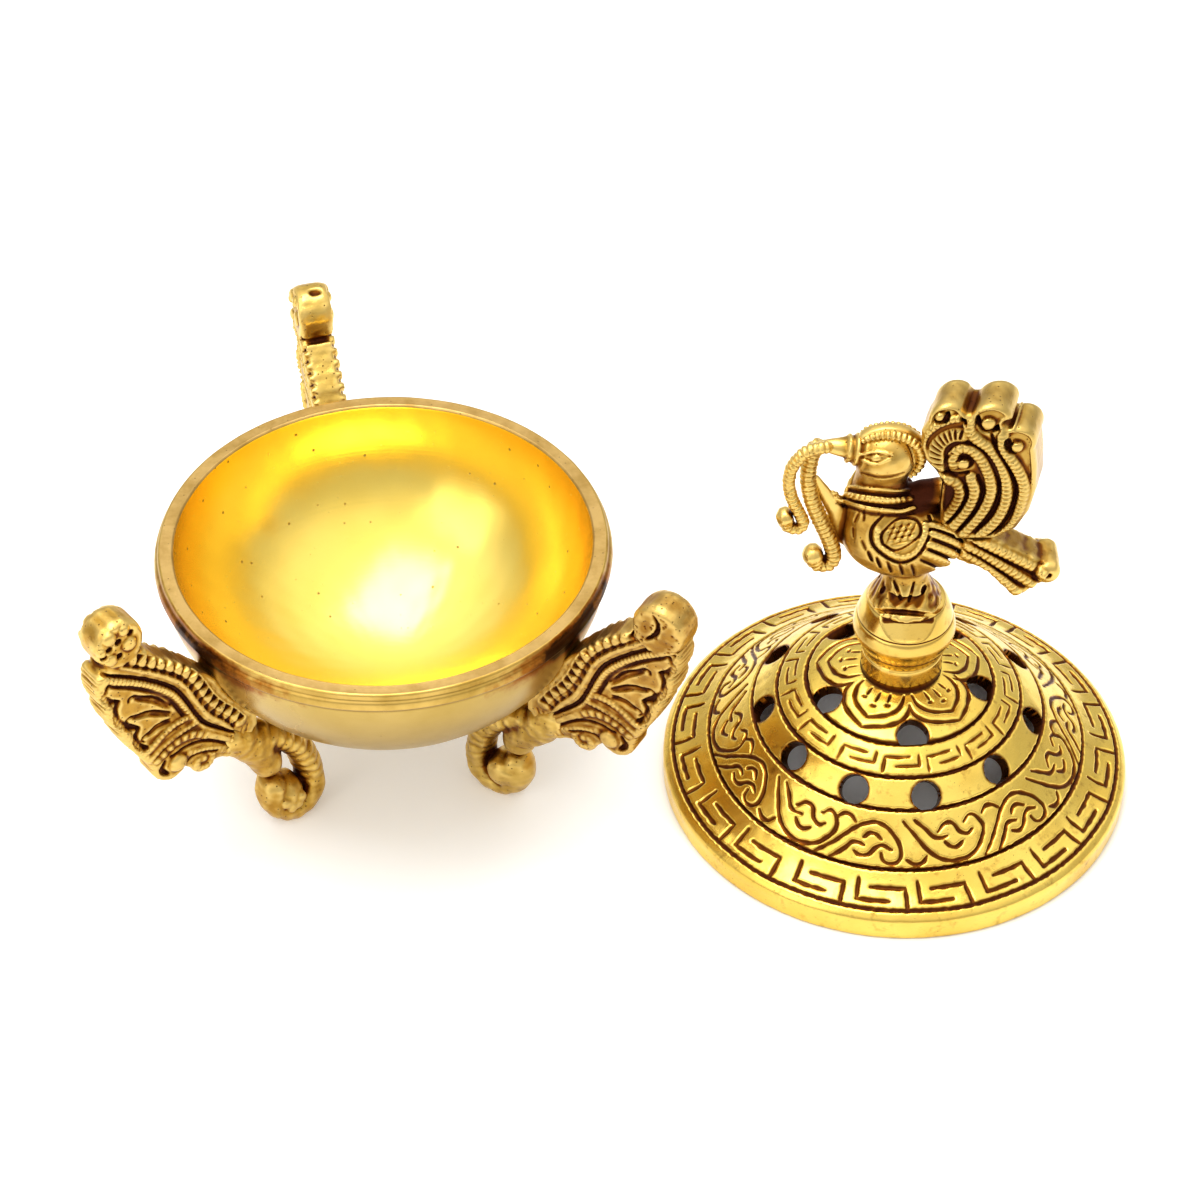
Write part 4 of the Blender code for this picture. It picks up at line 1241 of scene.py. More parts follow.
def make_foot(side, leg):
    """A C-shaped scroll with a ball in it, hanging from a plump neck."""
    x, low = leg.foot, FOOT_RING_Z
    top = low + 14.4
    worn = side == "right"
    solid = Solid((x - 9.0, -FOOT_HALF, -0.4), (40.5, FOOT_HALF, 29.0), FOOT_VOXEL)
    neck = [(NECK[0] + 1.6, NECK[1] + 1.4), NECK, (33.6, 20.8), (x + 5.0, low + 10.6),
            (x + 4.3, low + 8.4)]
    solid.tube(smooth_curve(neck, 5), neck_radius, blend=0.6)
    scroll = [(x + 5.6, top + 1.4), (x + 2.2, top - 0.6), (x - 1.2, top - 3.6), (x - 3.4, low + 6.9),
              (x - 4.4, low + 2.8)] + arc((x, low), FOOT_RING_R, 185.0, 390.0, 12)
    solid.tube(smooth_curve(scroll, 4), scroll_radius(0.05 if worn else 0.08), blend=0.5, flat=1.3)
    ball = (x + BALL_OFFSET[0], low + BALL_OFFSET[1])
    solid.ball((ball[0], 0.0, ball[1]), BALL_SEMI, blend=0.25)
    foot_bosses(solid, ball, worn)
    solid.roughen(0.09, 3.4, 31)
    solid.roughen(0.025, 1.4, 32)
    solid.field = np.maximum(solid.field, -solid.axes[2][None, None, :]).astype(np.float32)
    return cast_piece(f"{side}_leg_foot", solid, leg_brass(f"{side}_foot"), "bowl",
                      [f"leg_{side}_foot"], BOWL_AXIS, leg.azimuth, leg.sideways, leg.lean, NECK[1])


WORN_BRIGHT = (0.76, 0.53, 0.155)
WORN_DULL = (0.66, 0.44, 0.125)
# Bright and dull brass of each casting, and the tone of its rubbed edges.
LEG_TONES = {"left_wing": ((0.54, 0.31, 0.05), (0.37, 0.18, 0.02), WORN_BRIGHT),
             "right_wing": ((0.44, 0.24, 0.045), (0.29, 0.135, 0.018), WORN_DULL),
             "rear_wing": ((0.64, 0.43, 0.10), (0.48, 0.30, 0.055), WORN_BRIGHT),
             "left_foot": ((0.56, 0.33, 0.055), (0.38, 0.19, 0.025), WORN_BRIGHT),
             "right_foot": ((0.58, 0.38, 0.09), (0.40, 0.23, 0.035), WORN_BRIGHT),
             "rear_foot": ((0.56, 0.33, 0.055), (0.38, 0.19, 0.025), WORN_BRIGHT)}


def leg_brass(casting):
    bright, dull, rubbed = LEG_TONES[casting]
    return patinated_brass(f"{casting}_brass", bright, dull, 0.36, cavity_low=0.02,
                           cavity_high=0.46, grain=0.05, pit_share=0.12, rubbed=rubbed)


def make_legs():
    for side, leg in LEGS.items():
        make_wing(side, leg)
        make_foot(side, leg)


# ================================================================ finial
# The bird's ornament is drawn on a view of it from 43 degrees above, so its heights are those
# of a surface in the bird's middle plane; FORESHORTEN lifts them where the surface stands out.
FORESHORTEN = 0.93
BIRD_BOX = ((-19.6, -8.6, 44.6), (12.4, 8.6, 88.0))
CREST_BOX = ((-13.0, -3.6, 73.0), (4.0, 3.6, 89.5))
FAN_BOX = ((-0.4, -5.6, 61.0), (24.6, 5.6, 96.6))
TRAIN_BOX = ((8.0, -5.6, 46.5), (29.4, 5.6, 65.0))
BODY_CENTRE = (-1.5, 61.5)
BODY_SEMI = (11.2, 7.6, 8.4)
HEAD_CENTRE = (-5.8, 80.6)
HEAD_SEMI = (5.9, 4.9, 5.3)
FAN_HALF = 4.3
FAN_SHEAR = (0.29, -0.25)       # the fan is turned a little, so its far side is further along X
FAN_TONE = 0.84                 # the fan is a little darker than the bird
TRAIN_HALF = 3.8
TRAIN_ROLL = (25.4, 54.8)       # middle of the roll at the train's tip
CREST_RIBS = 19.0               # ribs in each half turn round the head

PEDESTAL_BELL = [(6.6, 33.3), (7.7, 33.5), (8.1, 34.3), (8.35, 35.4), (8.95, 36.5), (9.5, 37.7),
                 (9.7, 39.0), (9.5, 40.4), (9.2, 41.2), (8.85, 41.6), (9.0, 42.0), (8.65, 43.2),
                 (8.05, 44.7), (7.5, 45.6), (6.9, 46.0), (4.0, 46.6), (0.02, 46.8)]
SHIN_TAPER = ((0.0, 2.6, 4.6, 6.2, 8.4, 12.4), (7.0, 6.9, 5.7, 4.7, 3.7, 3.6))
CONE_FLAT = ((0.73, 0.68), (6.4, 46.2))     # normal and point, in |y| and z, of the cone's flats
PEDESTAL_FLAT = ((0.76, 0.65), (8.7, 41.9))  # and of the flats filed on the pedestal
FLAT_FADE = (41.6, 42.6)        # heights between which the pedestal's flats begin
SLASH_HEIGHT = 45.1             # of the line of painted shade across them
SLASH_WIDTH = 0.45
CONE_TOP = (48.5, 52.0)         # heights between which the cone's rough skin gives way
EYE = (-8.0, 79.4)
NAPE = (0.8, 73.2)              # the nook behind the neck, darkened with painted shade
# Bright and dull brass of the finial, and the tone of its rubbed edges.
BIRD_TONES = ((0.56, 0.34, 0.07), (0.40, 0.215, 0.032), (0.80, 0.56, 0.165))
COLLAR_PROFILE = [(2.9, 27.85), (7.5, 27.85), (7.7, 28.1), (7.72, 30.5), (7.7, 32.6), (7.5, 33.0),
                  (7.1, 33.2), (5.0, 33.2), (2.9, 33.2)]


def beak_radius(way, total):
    """A taper with three raised collars."""
    taper = 3.7 - 2.35 * way / total
    collars = sum(np.exp(-((way - at) / 0.38) ** 2) for at in (1.6, 2.9, 4.3))
    return taper - 0.25 + 0.45 * collars


def necklace(relief):
    relief.ridge([(-14.2, 71.8), (-12.6, 70.9), (-10.0, 70.0), (-5.0, 69.2), (-1.2, 69.8)], 1.9, 0.85,
                 pitch=1.0, share=0.45)
    relief.ridge([(-13.6, 73.3), (-8.0, 72.0), (-4.0, 71.6), (-1.2, 72.0)], 0.8, 0.5)
    relief.ridge([(-14.0, 70.0), (-11.0, 68.4), (-8.0, 67.2), (-3.0, 66.7), (-0.4, 67.6)], 1.4, 0.7)
    relief.groove([(-14.0, 72.5), (-9.0, 71.0), (-4.0, 70.5), (-1.2, 71.0)], 0.4, 0.45, taper=0.0)
    relief.groove([(-14.0, 70.9), (-10.5, 68.8), (-5.0, 67.9), (-0.8, 68.7)], 0.45, 0.5, taper=0.0)
    relief.groove([(-14.0, 69.0), (-11.0, 67.2), (-8.0, 66.0), (-3.0, 65.6), (0.0, 66.4)], 0.4, 0.4,
                  taper=0.0)


def face(relief):
    relief.ridge([(-10.6, 80.3), (-8.2, 80.9), (-5.2, 80.3)], 0.8, 0.35)
    relief.ridge([(-10.4, 79.0), (-8.0, 77.9), (-5.6, 79.2)], 0.7, 0.30)
    relief.groove([(-10.2, 79.9), (-8.0, 80.35), (-5.4, 79.8), (-7.6, 78.4), (-10.2, 79.6)], 0.4, 0.35)
    relief.dome(EYE, 0.9, 0.35)
    relief.groove([(-10.2, 76.0), (-7.5, 74.9), (-5.0, 75.0), (-2.8, 75.8)], 0.5, 0.40)
    relief.groove([(-12.6, 79.4), (-14.8, 79.9), (-17.0, 80.7)], 0.6, 0.5, taper=0.5)
    relief.groove([(-2.8, 84.2), (-1.6, 81.0), (-1.0, 78.0)], 0.5, 0.4)


def shoulder(relief):
    """The folded wing on the bird's side."""
    oval = [(-6.0, 65.6), (-7.9, 62.4), (-7.6, 58.6), (-5.2, 55.5), (-2.4, 54.0), (0.2, 55.4),
            (2.0, 58.8), (3.0, 62.8), (2.6, 65.6)]
    inner = [(-5.9, 58.6), (-6.1, 61.0), (-4.1, 64.0), (-2.4, 65.1), (0.2, 64.6), (1.0, 61.4),
             (-1.0, 58.6), (-3.6, 57.0), (-5.9, 58.6)]
    band = [(-6.9, 62.4), (-6.8, 59.0), (-4.8, 56.4), (-2.2, 55.2), (0.4, 56.6), (1.6, 60.0),
            (1.9, 63.6)]
    relief.ridge(band, 1.5, 0.40, pitch=1.15, share=0.55)
    relief.groove(oval, 0.65, 0.60, taper=0.2)
    relief.groove(inner, 0.50, 0.50, taper=0.0)
    for step in range(4):
        across = 1.25 * step
        slip = 0.3 * step
        relief.groove([(-5.2 + across, 58.8 + slip), (-3.6 + across, 63.8)], 0.36, 0.42)
        relief.groove([(-5.2 + slip, 62.2 - across), (-0.8 + slip, 63.6 - across)], 0.36, 0.42)


def feathers(relief):
    """Oblique feather bands that run from the wing to the train."""
    bands = [[(3.2, 63.4), (6.5, 62.0), (10.4, 59.6)], [(3.4, 61.2), (7.0, 59.4), (10.6, 57.2)],
             [(2.9, 58.4), (6.0, 56.9), (9.6, 54.9)], [(2.2, 56.2), (5.0, 54.6), (8.0, 52.9)]]
    for band in bands:
        relief.ridge(band, 1.9, 0.42, pitch=1.0, share=0.35, skew=0.5)
    for line in ([(3.4, 62.3), (6.8, 60.8), (10.6, 58.6)], [(3.2, 59.8), (6.6, 58.2), (10.0, 56.2)],
                 [(2.6, 57.2), (5.8, 55.6), (9.0, 53.8)], [(1.2, 54.7), (4.0, 53.2), (6.4, 51.6)]):
        relief.groove(line, 0.6, 0.65, taper=0.3)
    for x, w in ((-8.2, 56.0), (-6.6, 54.4), (-4.6, 53.3), (-2.4, 52.7), (-0.2, 52.6)):
        relief.groove([(x - 0.2, w + 0.8), (x + 0.7, w - 1.6)], 0.6, 0.55)
    for line in ([(-10.3, 66.4), (-11.0, 64.0)], [(-11.2, 62.8), (-11.0, 60.2)],
                 [(-9.6, 59.6), (-8.8, 57.2)], [(-9.4, 68.0), (-9.4, 64.4)],
                 [(-6.4, 68.2), (-6.8, 66.0)]):
        relief.groove(line, 0.45, 0.40)


def bird_shade_and_dirt(points):
    """Painted black shade behind the neck, and a brown skin on the rough cone."""
    cone = 0.45 * (1.0 - smoothstep(*CONE_TOP, points[:, 2]))
    return sooty(NAPE, 3.2, 2.0)(points) + cone


def finial_casting(name, node, solid, brass, **extra):
    return cast_piece(name, solid, brass, "finial", [node], LID_AXIS, **extra)


def bird_shape():
    """The smooth body, neck, head, beak, breast web, saddle and cone."""
    solid = Solid(*BIRD_BOX, 0.2)
    solid.ball((BODY_CENTRE[0], 0.0, BODY_CENTRE[1]), BODY_SEMI, blend=0.0)
    neck = smooth_curve([(-6.2, 64.0), (-6.8, 69.0), (-6.4, 74.0), (-5.8, 79.0)], 4)
    solid.tube(neck, lambda way, total: (6.6 - 2.2 * way / total) * 0.97, blend=2.2, flat=0.8)
    solid.ball((HEAD_CENTRE[0], 0.0, HEAD_CENTRE[1]), HEAD_SEMI, blend=1.6)
    beak = [(-8.5, 81.2), (-11.2, 81.8), (-13.0, 82.1), (-15.0, 82.4), (-17.0, 82.7)]
    solid.tube(beak, beak_radius, blend=0.5)
    web = [(-18.2, 75.0), (-16.2, 71.0), (-14.0, 67.0), (-12.6, 62.0)]
    solid.tube(web, lambda way, total: 0.7 + 1.9 * way / total, blend=0.8, flat=0.55)
    saddle = [(-3.5, 69.6), (1.5, 71.4), (7.5, 72.4)]
    solid.tube(saddle, lambda way, total: 2.5, blend=1.6)
    shin = [(-0.3, height) for height in (43.6, 50.0, 56.0)]
    solid.tube(shin, lambda way, total: np.interp(way, *SHIN_TAPER), blend=0.8)
    normal, point = CONE_FLAT
    level = normal[0] * point[0] + normal[1] * point[1]
    solid.cut((-9, -9, 44), (9, 9, 49.6),
              lambda x, y, z: level - normal[0] * np.abs(y) - normal[1] * z)
    return solid


def cone_cuts(relief):
    """Slashes on the cone under the bird."""
    for line, width in (([(-2.9, 49.6), (-1.4, 44.8)], 0.6), ([(0.8, 49.2), (0.0, 44.3)], 0.6),
                        ([(-6.5, 42.0), (-1.1, 41.6), (4.7, 40.8)], 1.3),
                        ([(3.0, 48.4), (2.4, 46.4)], 0.9), ([(-4.4, 48.0), (-5.0, 46.4)], 0.8)):
        relief.groove(line, width, 0.7, taper=0.6)


def make_bird():
    solid = bird_shape()
    relief = Relief(solid.axes[0], np.arange(36.0, 92.0, solid.voxel))
    for draw in (necklace, face, shoulder, feathers, cone_cuts):
        draw(relief)
    solid.emboss(relief, FORESHORTEN)
    solid.roughen(0.028, 2.2, 41)
    calm = solid.field.copy()
    solid.roughen(0.10, 1.7, 47)
    cone = 1.0 - smoothstep(49.0, 52.5, solid.axes[2])
    solid.field = (calm + (solid.field - calm) * cone[None, None, :]).astype(np.float32)
    solid.cut((-9, -9, 43), (9, 9, 46), lambda x, y, z: z - 45.4, blend=0.0)
    finial_casting("peacock", "peacock_body", solid, bird_brass("peacock_brass"), soot=bird_shade_and_dirt)


def make_crest():
    """A strap over the head, smooth on top and ribbed down its sides."""
    path = arc(HEAD_CENTRE, (HEAD_SEMI[0] + 0.5, HEAD_SEMI[2] + 0.35), 130, -42, 43)
    solid = Solid(*CREST_BOX, 0.18)
    solid.tube(path, lambda way, total: 0.95 + 0.3 * np.sin(np.pi * way / total), flat=1.8)
    x, y, z = np.meshgrid(*solid.axes, indexing="ij", sparse=True)
    angle = np.arctan2(z - HEAD_CENTRE[1], x - HEAD_CENTRE[0])
    rib = np.abs(np.sin(angle * CREST_RIBS)) ** 0.7
    side = smoothstep(1.0, 1.4, np.abs(y))
    seam = 0.20 * np.exp(-((np.abs(y) - 1.1) / 0.2) ** 2)
    solid.field += (side * (0.20 - 0.32 * rib) + seam).astype(np.float32)
    solid.roughen(0.02, 1.6, 42)
    # painted shade on the crest's back end, by the nook behind the neck
    finial_casting("peacock_crest_band", "peacock_crest", solid, bird_brass("crest_brass"),
                   soot=sooty((1.5, 76.0), 3.0))


def garland_radius(thick, ball, pitch):
    """A finely ribbed rod that ends in a ball."""
    def radius(way, total):
        ribs = np.abs(np.sin(np.pi * way / pitch)) ** 0.6
        end = np.exp(-((total - way) / 1.6) ** 2)
        return thick * (0.80 + 0.26 * ribs) * (1.0 - end) + ball * end
    return radius


def make_garlands():
    front = [(-16.4, -1.2, 83.4), (-17.9, -1.8, 83.6), (-20.4, -1.8, 82.6), (-22.6, -1.8, 79.4),
             (-23.2, -1.8, 75.4), (-22.4, -1.8, 71.4), (-20.9, -1.8, 67.8), (-20.2, -1.8, 65.6),
             (-21.2, -1.8, 64.4), (-23.0, -1.8, 65.0), (-23.5, -1.8, 67.2)]
    rear = [(-17.6, 1.2, 81.6), (-18.5, 1.6, 80.6), (-19.3, 1.0, 78.4), (-19.6, 0.0, 74.8),
            (-18.8, -0.8, 70.6), (-17.0, -1.6, 66.0), (-15.2, -2.2, 61.8), (-14.4, -2.6, 58.6),
            (-15.2, -2.8, 56.8), (-17.2, -2.8, 56.8), (-18.2, -2.8, 58.8)]
    for name, node, path, thick, ball in (("garland_outer", "garland_front", front, 1.15, 1.8),
                                          ("garland_inner", "garland_rear", rear, 1.5, 2.0)):
        path = np.array(path)
        solid = Solid(path.min(0) - 2.4, path.max(0) + 2.4, 0.19)
        solid.tube(smooth_curve(path, 5), garland_radius(thick, ball, 0.95), flat=1.1)
        solid.roughen(0.04, 1.4, 43)
        finial_casting(name, node, solid, bird_brass(name + "_brass"))


PLUMES = [[(3.8, 73.4), (6.2, 73.9), (8.4, 73.0), (9.0, 70.3), (7.8, 66.7), (5.4, 63.4)],
          [(10.8, 74.6), (11.7, 71.0), (10.6, 66.7), (8.2, 62.4)],
          [(15.8, 84.2), (16.4, 80.7), (18.8, 76.9), (20.6, 72.2), (20.4, 67.5), (19.3, 63.2),
           (16.4, 59.2)],
          [(9.6, 88.4), (9.8, 85.4), (11.4, 83.4), (13.8, 81.1), (16.4, 75.9), (17.6, 70.8),
           (16.9, 66.0), (14.6, 62.0), (11.4, 59.4)],
          [(7.6, 77.4), (7.3, 79.9), (8.6, 81.4), (10.6, 80.9), (12.6, 78.4), (14.2, 74.5),
           (14.7, 70.6), (13.3, 65.9), (10.4, 61.0)]]
VALLEYS = [[(9.8, 72.6), (10.4, 70.3), (9.2, 66.7), (6.8, 62.8)],
           [(11.9, 74.9), (13.2, 71.0), (12.1, 66.3), (9.4, 61.6)],
           [(9.2, 82.6), (11.4, 81.9), (14.0, 79.2), (15.8, 74.9), (16.2, 70.8), (15.2, 66.0),
            (12.4, 61.2)],
           [(13.6, 84.6), (14.6, 82.0), (17.4, 76.9), (19.2, 72.0), (18.7, 67.0), (17.0, 62.6),
            (13.6, 59.4)],
           [(2.6, 75.2), (5.4, 75.6), (8.4, 75.2), (10.2, 75.6)]]
CURL_DISC = (9.3, 77.9)
COMB_OUTER = [(9.2, 86.0), (6.6, 86.0), (4.6, 85.0), (3.1, 83.2), (2.7, 80.4), (3.4, 77.2)]
COMB_INNER = [(8.4, 83.0), (7.2, 82.8), (6.2, 81.9), (5.6, 80.6), (5.6, 79.0), (6.2, 77.0)]
COMB_BORDER = [(8.0, 88.4), (6.2, 88.0), (3.9, 86.8), (1.9, 84.3), (1.4, 81.1), (2.1, 77.8), (3.8, 75.8)]
LOBE_GAPS = [(9.2, 94.2), (16.6, 90.7)]
LOBE_GAP_R = 1.0
LOBE_CURLS = [((13.0, 87.3), 1.25), ((18.6, 81.9), 1.1), ((4.4, 88.9), 0.9)]
LOBE_HOLLOWS = [[(11.0, 88.4), (11.4, 87.0), (12.6, 85.4), (14.4, 85.6), (15.4, 87.2)],
                [(16.6, 83.6), (17.0, 81.6), (18.2, 80.2)], [(5.6, 89.4), (5.2, 87.9), (3.6, 87.7)],
                [(8.6, 92.4), (8.4, 89.4), (9.0, 87.0)]]


def lobe_outline():
    """The three rolled tips along the fan's upper edge."""
    lobes = arc((5.6, 91.7), 3.5, 185.0, 20.0, 16) + arc((13.2, 91.0), 4.0, 150.0, 10.0, 16)
    return lobes + arc((18.3, 86.2), 3.6, 95.0, -20.0, 14)


def carve_fan(relief):
    """The plumes, curl and comb of the fan's face, and the hollows under its three lobes."""
    for line in PLUMES:
        relief.ridge(line, 2.3, 0.50, pitch=1.0, share=0.28)
    relief.ridge(COMB_BORDER, 1.7, 0.45, pitch=1.0, share=0.40)
    comb_middle = (np.array(COMB_OUTER) + np.array(COMB_INNER)) / 2
    relief.ridge(comb_middle, 3.2, 0.25)
    for line in VALLEYS:
        relief.groove(line, 0.55, 0.75, taper=0.2)
    outer, inner = (smooth_curve(line, 4) for line in (COMB_OUTER, COMB_INNER))
    every_other = slice(1, None, 2)
    for a, b in list(zip(outer, inner))[every_other]:
        relief.groove([a + 0.12 * (b - a), a + 0.80 * (b - a)], 0.62, 0.65, smooth=False, taper=0.5)
    relief.dome(CURL_DISC, 1.1, 0.45)
    relief.groove(arc(CURL_DISC, 1.45, 150.0, -60.0, 12), 0.55, 0.7, taper=0.4)
    relief.groove(arc(CURL_DISC, 3.4, 128.0, 250.0, 12), 0.5, 0.6, taper=0.2)
    for centre, size in LOBE_CURLS:
        relief.dome(centre, size, 0.55)
    for line in LOBE_HOLLOWS:
        relief.groove(line, 1.15, 1.3, taper=0.6)


def make_fan():
    back_edge = [(22.4, 80.0), (22.7, 75.0), (21.8, 70.0), (19.8, 66.0), (16.2, 63.6)]
    root = arc(BODY_CENTRE, (BODY_SEMI[0] - 0.5, BODY_SEMI[2] - 0.5), 14, 46, 2)
    front_edge = [(5.4, 72.0), (5.5, 77.2), (4.4, 79.6), (2.4, 82.2), (1.2, 85.6), (1.1, 89.2)]
    outline = lobe_outline() + back_edge + root + front_edge
    solid = Solid(*FAN_BOX, 0.2)
    x, y, z = np.meshgrid(*solid.axes, indexing="ij", sparse=True)
    edge = outline_distance(x[:, 0, :], z[:, 0, :], outline)
    for gap_x, gap_z in LOBE_GAPS:
        notch = LOBE_GAP_R - np.hypot(x[:, 0, :] - gap_x, z[:, 0, :] - gap_z)
        edge = smooth_max(edge, notch, 0.4)
    relief = Relief(solid.axes[0], solid.axes[2] - FORESHORTEN * FAN_HALF)
    relief.step([(px, pz - FORESHORTEN * FAN_HALF) for px, pz in outline], -0.55, 0.8)
    carve_fan(relief)
    raised = relief.height * (1.0 - smoothstep(-1.3, -0.5, edge))
    solid.field = smooth_max(np.abs(y) - FAN_HALF, edge[:, None, :], 1.5)
    solid.field = (solid.field - raised[:, None, :]).astype(np.float32)
    solid.roughen(0.018, 2.0, 44)
    # painted shade on the fan's front foot, in the gap behind the neck
    finial_casting("tail_fan_plumes", "tail_fan", solid, bird_brass("fan_brass", FAN_TONE),
                   shear=FAN_SHEAR, soot=sooty((4.6, 74.0), 4.2))


def make_train():
    top = [(9.2, 62.6), (14.6, 62.8), (18.2, 60.6), (24.0, 57.2)]
    roll = arc(TRAIN_ROLL, 2.4, 100.0, -60.0, 14)
    bottom = [(24.0, 51.6), (21.4, 49.4), (19.6, 48.2), (17.6, 50.6), (14.2, 55.0), (8.4, 57.6)]
    solid = Solid(*TRAIN_BOX, 0.21)
    lean = FORESHORTEN * TRAIN_HALF
    relief = Relief(solid.axes[0], solid.axes[2] - lean)
    outline = top + roll + bottom
    relief.step([(x, z - lean) for x, z in outline], -0.4, 0.6)
    for line in ([(9.0, 60.6), (13.0, 58.6), (24.4, 51.6)], [(9.0, 58.4), (13.0, 56.0), (22.6, 48.6)],
                 [(9.0, 56.4), (13.0, 53.8), (20.0, 46.6)]):
        relief.ridge(line, 2.1, 0.5, pitch=1.15, share=0.5)
    for line in ([(9.0, 59.5), (13.0, 57.2), (23.8, 50.0)], [(9.0, 57.4), (13.0, 54.8), (21.4, 47.4)]):
        relief.groove(line, 0.55, 0.6, taper=0.1)
    roll_middle = (TRAIN_ROLL[0], TRAIN_ROLL[1] - lean)
    relief.boss(roll_middle, 2.5, 1.1)
    relief.pit(roll_middle, 0.8, 0.7)
    z = solid.axes[2][None, :]
    edge = outline_distance(relief.x, z, outline) + 0.08 * wobble(relief.x, z, 2.2, 46)
    y = np.abs(solid.axes[1])[None, :, None]
    half = TRAIN_HALF + relief.height
    solid.field = smooth_max(y - half[:, None, :], edge[:, None, :], 1.2).astype(np.float32)
    solid.roughen(0.03, 2.0, 45)
    finial_casting("tail_train_feathers", "tail_train", solid, bird_brass("train_brass"))


def filed_flats(points, normal, place):
    """Files flats on the front and back of a turned shape, and returns a line of painted shade across
    them.
    """
    y, z = points[..., 1], points[..., 2]
    beyond = normal[0] * (np.abs(y) - place[0]) + normal[1] * (z - place[1])
    excess = np.maximum(beyond, 0.0) * smoothstep(*FLAT_FADE, z)
    y -= np.sign(y) * normal[0] * excess
    z -= normal[1] * excess
    return 1.2 * smoothstep(0.0, 0.4, excess) * np.exp(-((z - SLASH_HEIGHT) / SLASH_WIDTH) ** 2)


def turned_piece(name, profile, material, body, node, columns=160, wear=0.03, flats=None):
    """A lathe-turned piece about the lid's axis, with two filed flats if their plane is given."""
    section = np.asarray(profile)
    way = along(section)
    angle = np.arange(columns) * 2 * np.pi / columns
    swing = wear * wobble(angle[None, :] * 8.0, way[:, None], 5.0, 51)
    radius = np.maximum(section[:, :1] + swing, 0.01)
    points = spun(radius, angle, section[:, 1:])
    apart = 1e-6 * np.arange(len(way))      # keeps doubled points apart
    bend = np.gradient(np.gradient(section[:, 0], way + apart))
    hollow = np.broadcast_to(np.clip(bend * 6.0, -0.6, 1.0)[:, None], radius.shape).copy()
    # the flats carry a line of painted shade under the cone's overhang
    if flats:
        hollow += filed_flats(points, *flats)
    return make_piece(name, points.reshape(-1, 3), ring_grid(len(section), columns), material, body,
                      [node], LID_AXIS, attributes={"cavity": hollow.reshape(-1),
                                                    "way": np.repeat(way, columns)},
                      sharp=50.0)


def make_fittings():
    for node in ("finial_washer", "finial_screw"):
        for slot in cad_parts[node].material_slots:
            slot.material = fitting_brass(node + "_brass")
    turned_piece("collar_turned", smooth_curve(COLLAR_PROFILE, 3), fitting_brass("collar_brass"),
                 "lid", "lid_collar")
    bell = smooth_curve(PEDESTAL_BELL, 8)
    hidden_bore = [(0.02, 44.3), (2.6, 44.2), (2.6, 33.35)]
    turned_piece("pedestal_turned", np.vstack([bell, hidden_bore]), fitting_brass("pedestal_brass"),
                 "finial", "peacock_pedestal", flats=PEDESTAL_FLAT)


def fitting_brass(name):
    return patinated_brass(name, (0.78, 0.54, 0.14), (0.68, 0.43, 0.08), 0.20, cavity_low=0.15,
                           cavity_high=0.5, grain=0.008, pit_share=0.05)


def bird_brass(name, tone=1.0):
    bright, dull, rubbed = (tuple(tone * channel for channel in colour) for colour in BIRD_TONES)
    return patinated_brass(name, bright, dull, 0.30, cavity_low=0.02, cavity_high=0.46, grain=0.04,
                           pit_share=0.11, rubbed=rubbed)


# ================================================================ stage
SKY_LIGHT = (0.36, 0.80, 0.70, 1.42)    # heights between which it brightens, and its strengths
SKY_COLOUR = (1.0, 0.985, 0.95)
UNDERGLOW = (0.030, 0.078, 0.15, 0.0)   # distances from the bowl, and strengths: softens its shadow
FLOOR_HALF = 3.0
CAMERA_TARGET = (-4.69, 34.7, 0.0)
CAMERA_DISTANCE = 720.0
CAMERA_DOWN = 42.9
CAMERA_LENS = 104.7


def make_camera():
    camera = bpy.data.cameras.new("camera")
    camera.lens = CAMERA_LENS
    camera.sensor_width = 36.0
    camera.clip_start = 0.01
    camera.clip_end = 10.0
    obj = bpy.data.objects.new("camera", camera)
    bpy.context.collection.objects.link(obj)
    down = math.radians(CAMERA_DOWN)
    x, y, z = CAMERA_TARGET
    obj.location = (x * MM, (y - CAMERA_DISTANCE * math.cos(down)) * MM,
                    (z + CAMERA_DISTANCE * math.sin(down)) * MM)
    obj.rotation_euler = (math.pi / 2 - down, 0.0, 0.0)
    bpy.context.scene.camera = obj


def softbox(name, place, target, size, power):
    light = bpy.data.lights.new(name, "AREA")
    light.shape = "RECTANGLE"
    light.size, light.size_y = size
    light.energy = power
    obj = bpy.data.objects.new(name, light)
    bpy.context.collection.objects.link(obj)
    obj.location = place
    obj.rotation_euler = (Vector(target) - Vector(place)).to_track_quat("-Z", "Y").to_euler()


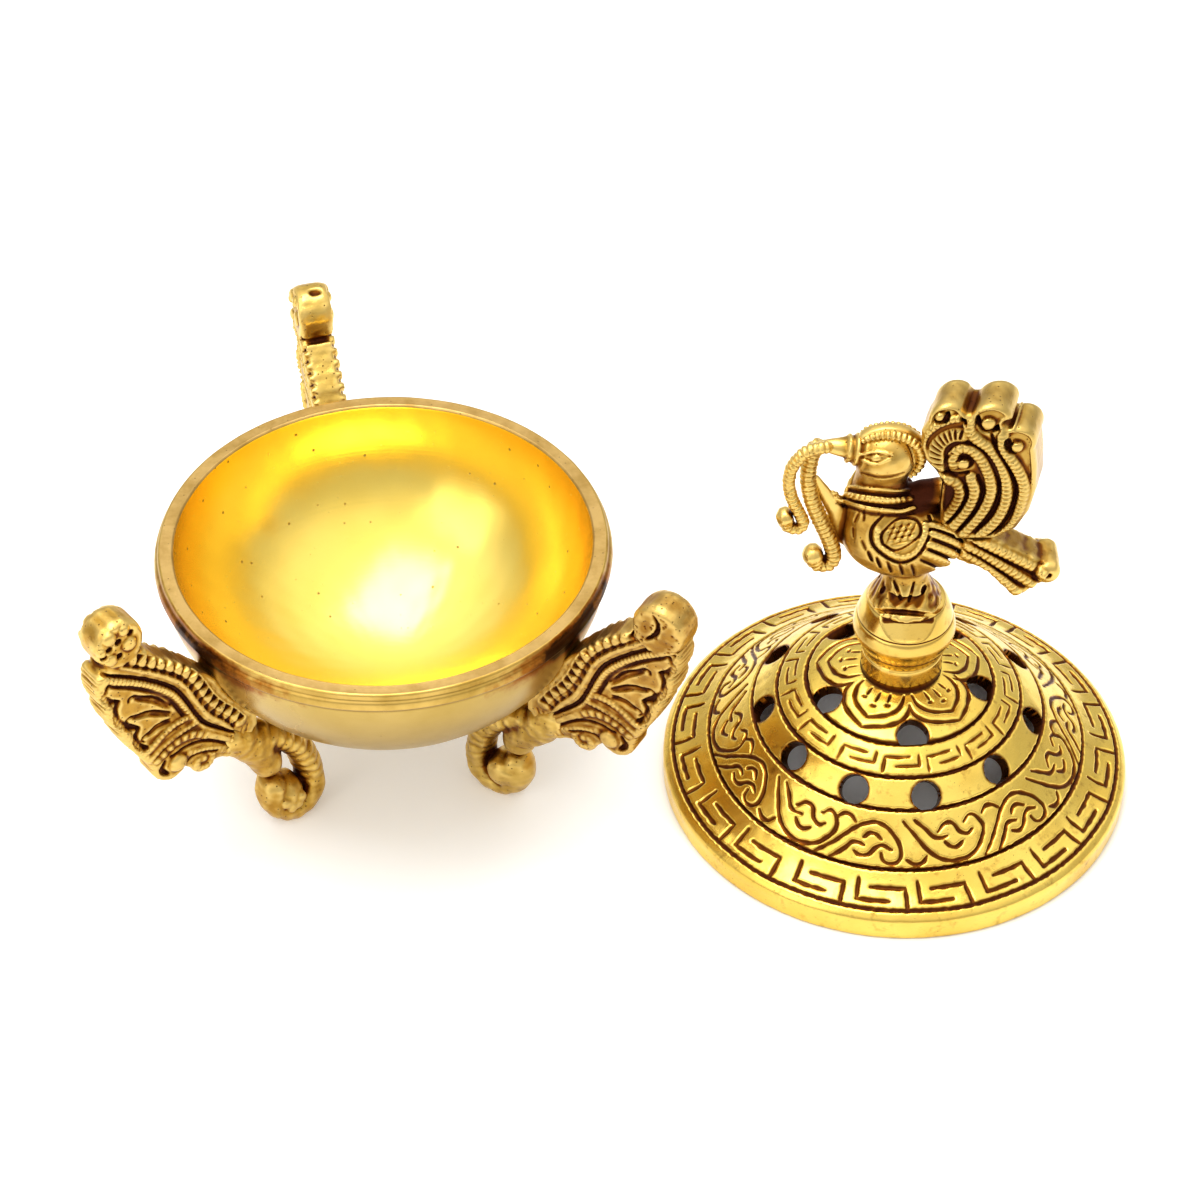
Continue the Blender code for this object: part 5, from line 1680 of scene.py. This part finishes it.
def white_table():
    """Plain white, with a faint painted glow round the bowl's axis that lifts the bowl's shadow."""
    graph = Graph("white_table")
    tint = graph.mix(graph.span(graph.noise(3.0), 0.3, 0.7), (0.97, 0.97, 0.965), (0.94, 0.94, 0.94))
    from_bowl = graph.node("ShaderNodeVectorMath", operation="DISTANCE")
    graph.link(graph.place(), from_bowl.inputs[0])
    from_bowl.inputs[1].default_value = (BOWL_AXIS[0] * MM, BOWL_AXIS[1] * MM, 0.0)
    # painted light: the table emits round the bowl to soften the bowl's shadow
    graph.shader.inputs["Emission Color"].default_value = (1.0, 1.0, 1.0, 1.0)
    glow = graph.span(from_bowl.outputs["Value"], *UNDERGLOW)
    graph.link(glow, graph.shader.inputs["Emission Strength"])
    return graph.finish(tint, 0.7, 0.0)


def make_floor():
    corners = [(x * FLOOR_HALF, y * FLOOR_HALF, 0) for x, y in ((-1, -1), (1, -1), (1, 1), (-1, 1))]
    mesh = bpy.data.meshes.new("floor")
    mesh.from_pydata(corners, [], [(0, 1, 2, 3)])
    floor = bpy.data.objects.new("floor", mesh)
    bpy.context.collection.objects.link(floor)
    mesh.materials.append(white_table())


def make_sky():
    """A plain studio that is brighter overhead than low down."""
    world = bpy.data.worlds.new("studio")
    world.use_nodes = True
    tree = world.node_tree
    background = tree.nodes["Background"]
    direction = tree.nodes.new("ShaderNodeTexCoord")
    upwards = tree.nodes.new("ShaderNodeSeparateXYZ")
    strength = tree.nodes.new("ShaderNodeMapRange")
    strength.interpolation_type = "SMOOTHSTEP"
    tree.links.new(direction.outputs["Generated"], upwards.inputs[0])
    tree.links.new(upwards.outputs["Z"], strength.inputs["Value"])
    for socket, number in zip(("From Min", "From Max", "To Min", "To Max"), SKY_LIGHT):
        strength.inputs[socket].default_value = number
    tree.links.new(strength.outputs["Result"], background.inputs["Strength"])
    background.inputs["Color"].default_value = (*SKY_COLOUR, 1.0)
    bpy.context.scene.world = world
    bpy.context.scene.view_settings.view_transform = "Standard"


make_camera()
make_floor()
make_sky()
softbox("overhead", place=(-0.15, 0.05, 1.1), target=(-0.05, 0.0, 0.0), size=(0.9, 0.6), power=8.0)
softbox("front_left", place=(-1.1, -0.9, 0.9), target=(0.0, 0.0, 0.0), size=(1.1, 0.9), power=4.0)
make_lid()
make_bowl()
make_legs()
make_fittings()
make_bird()
make_crest()
make_garlands()
make_fan()
make_train()
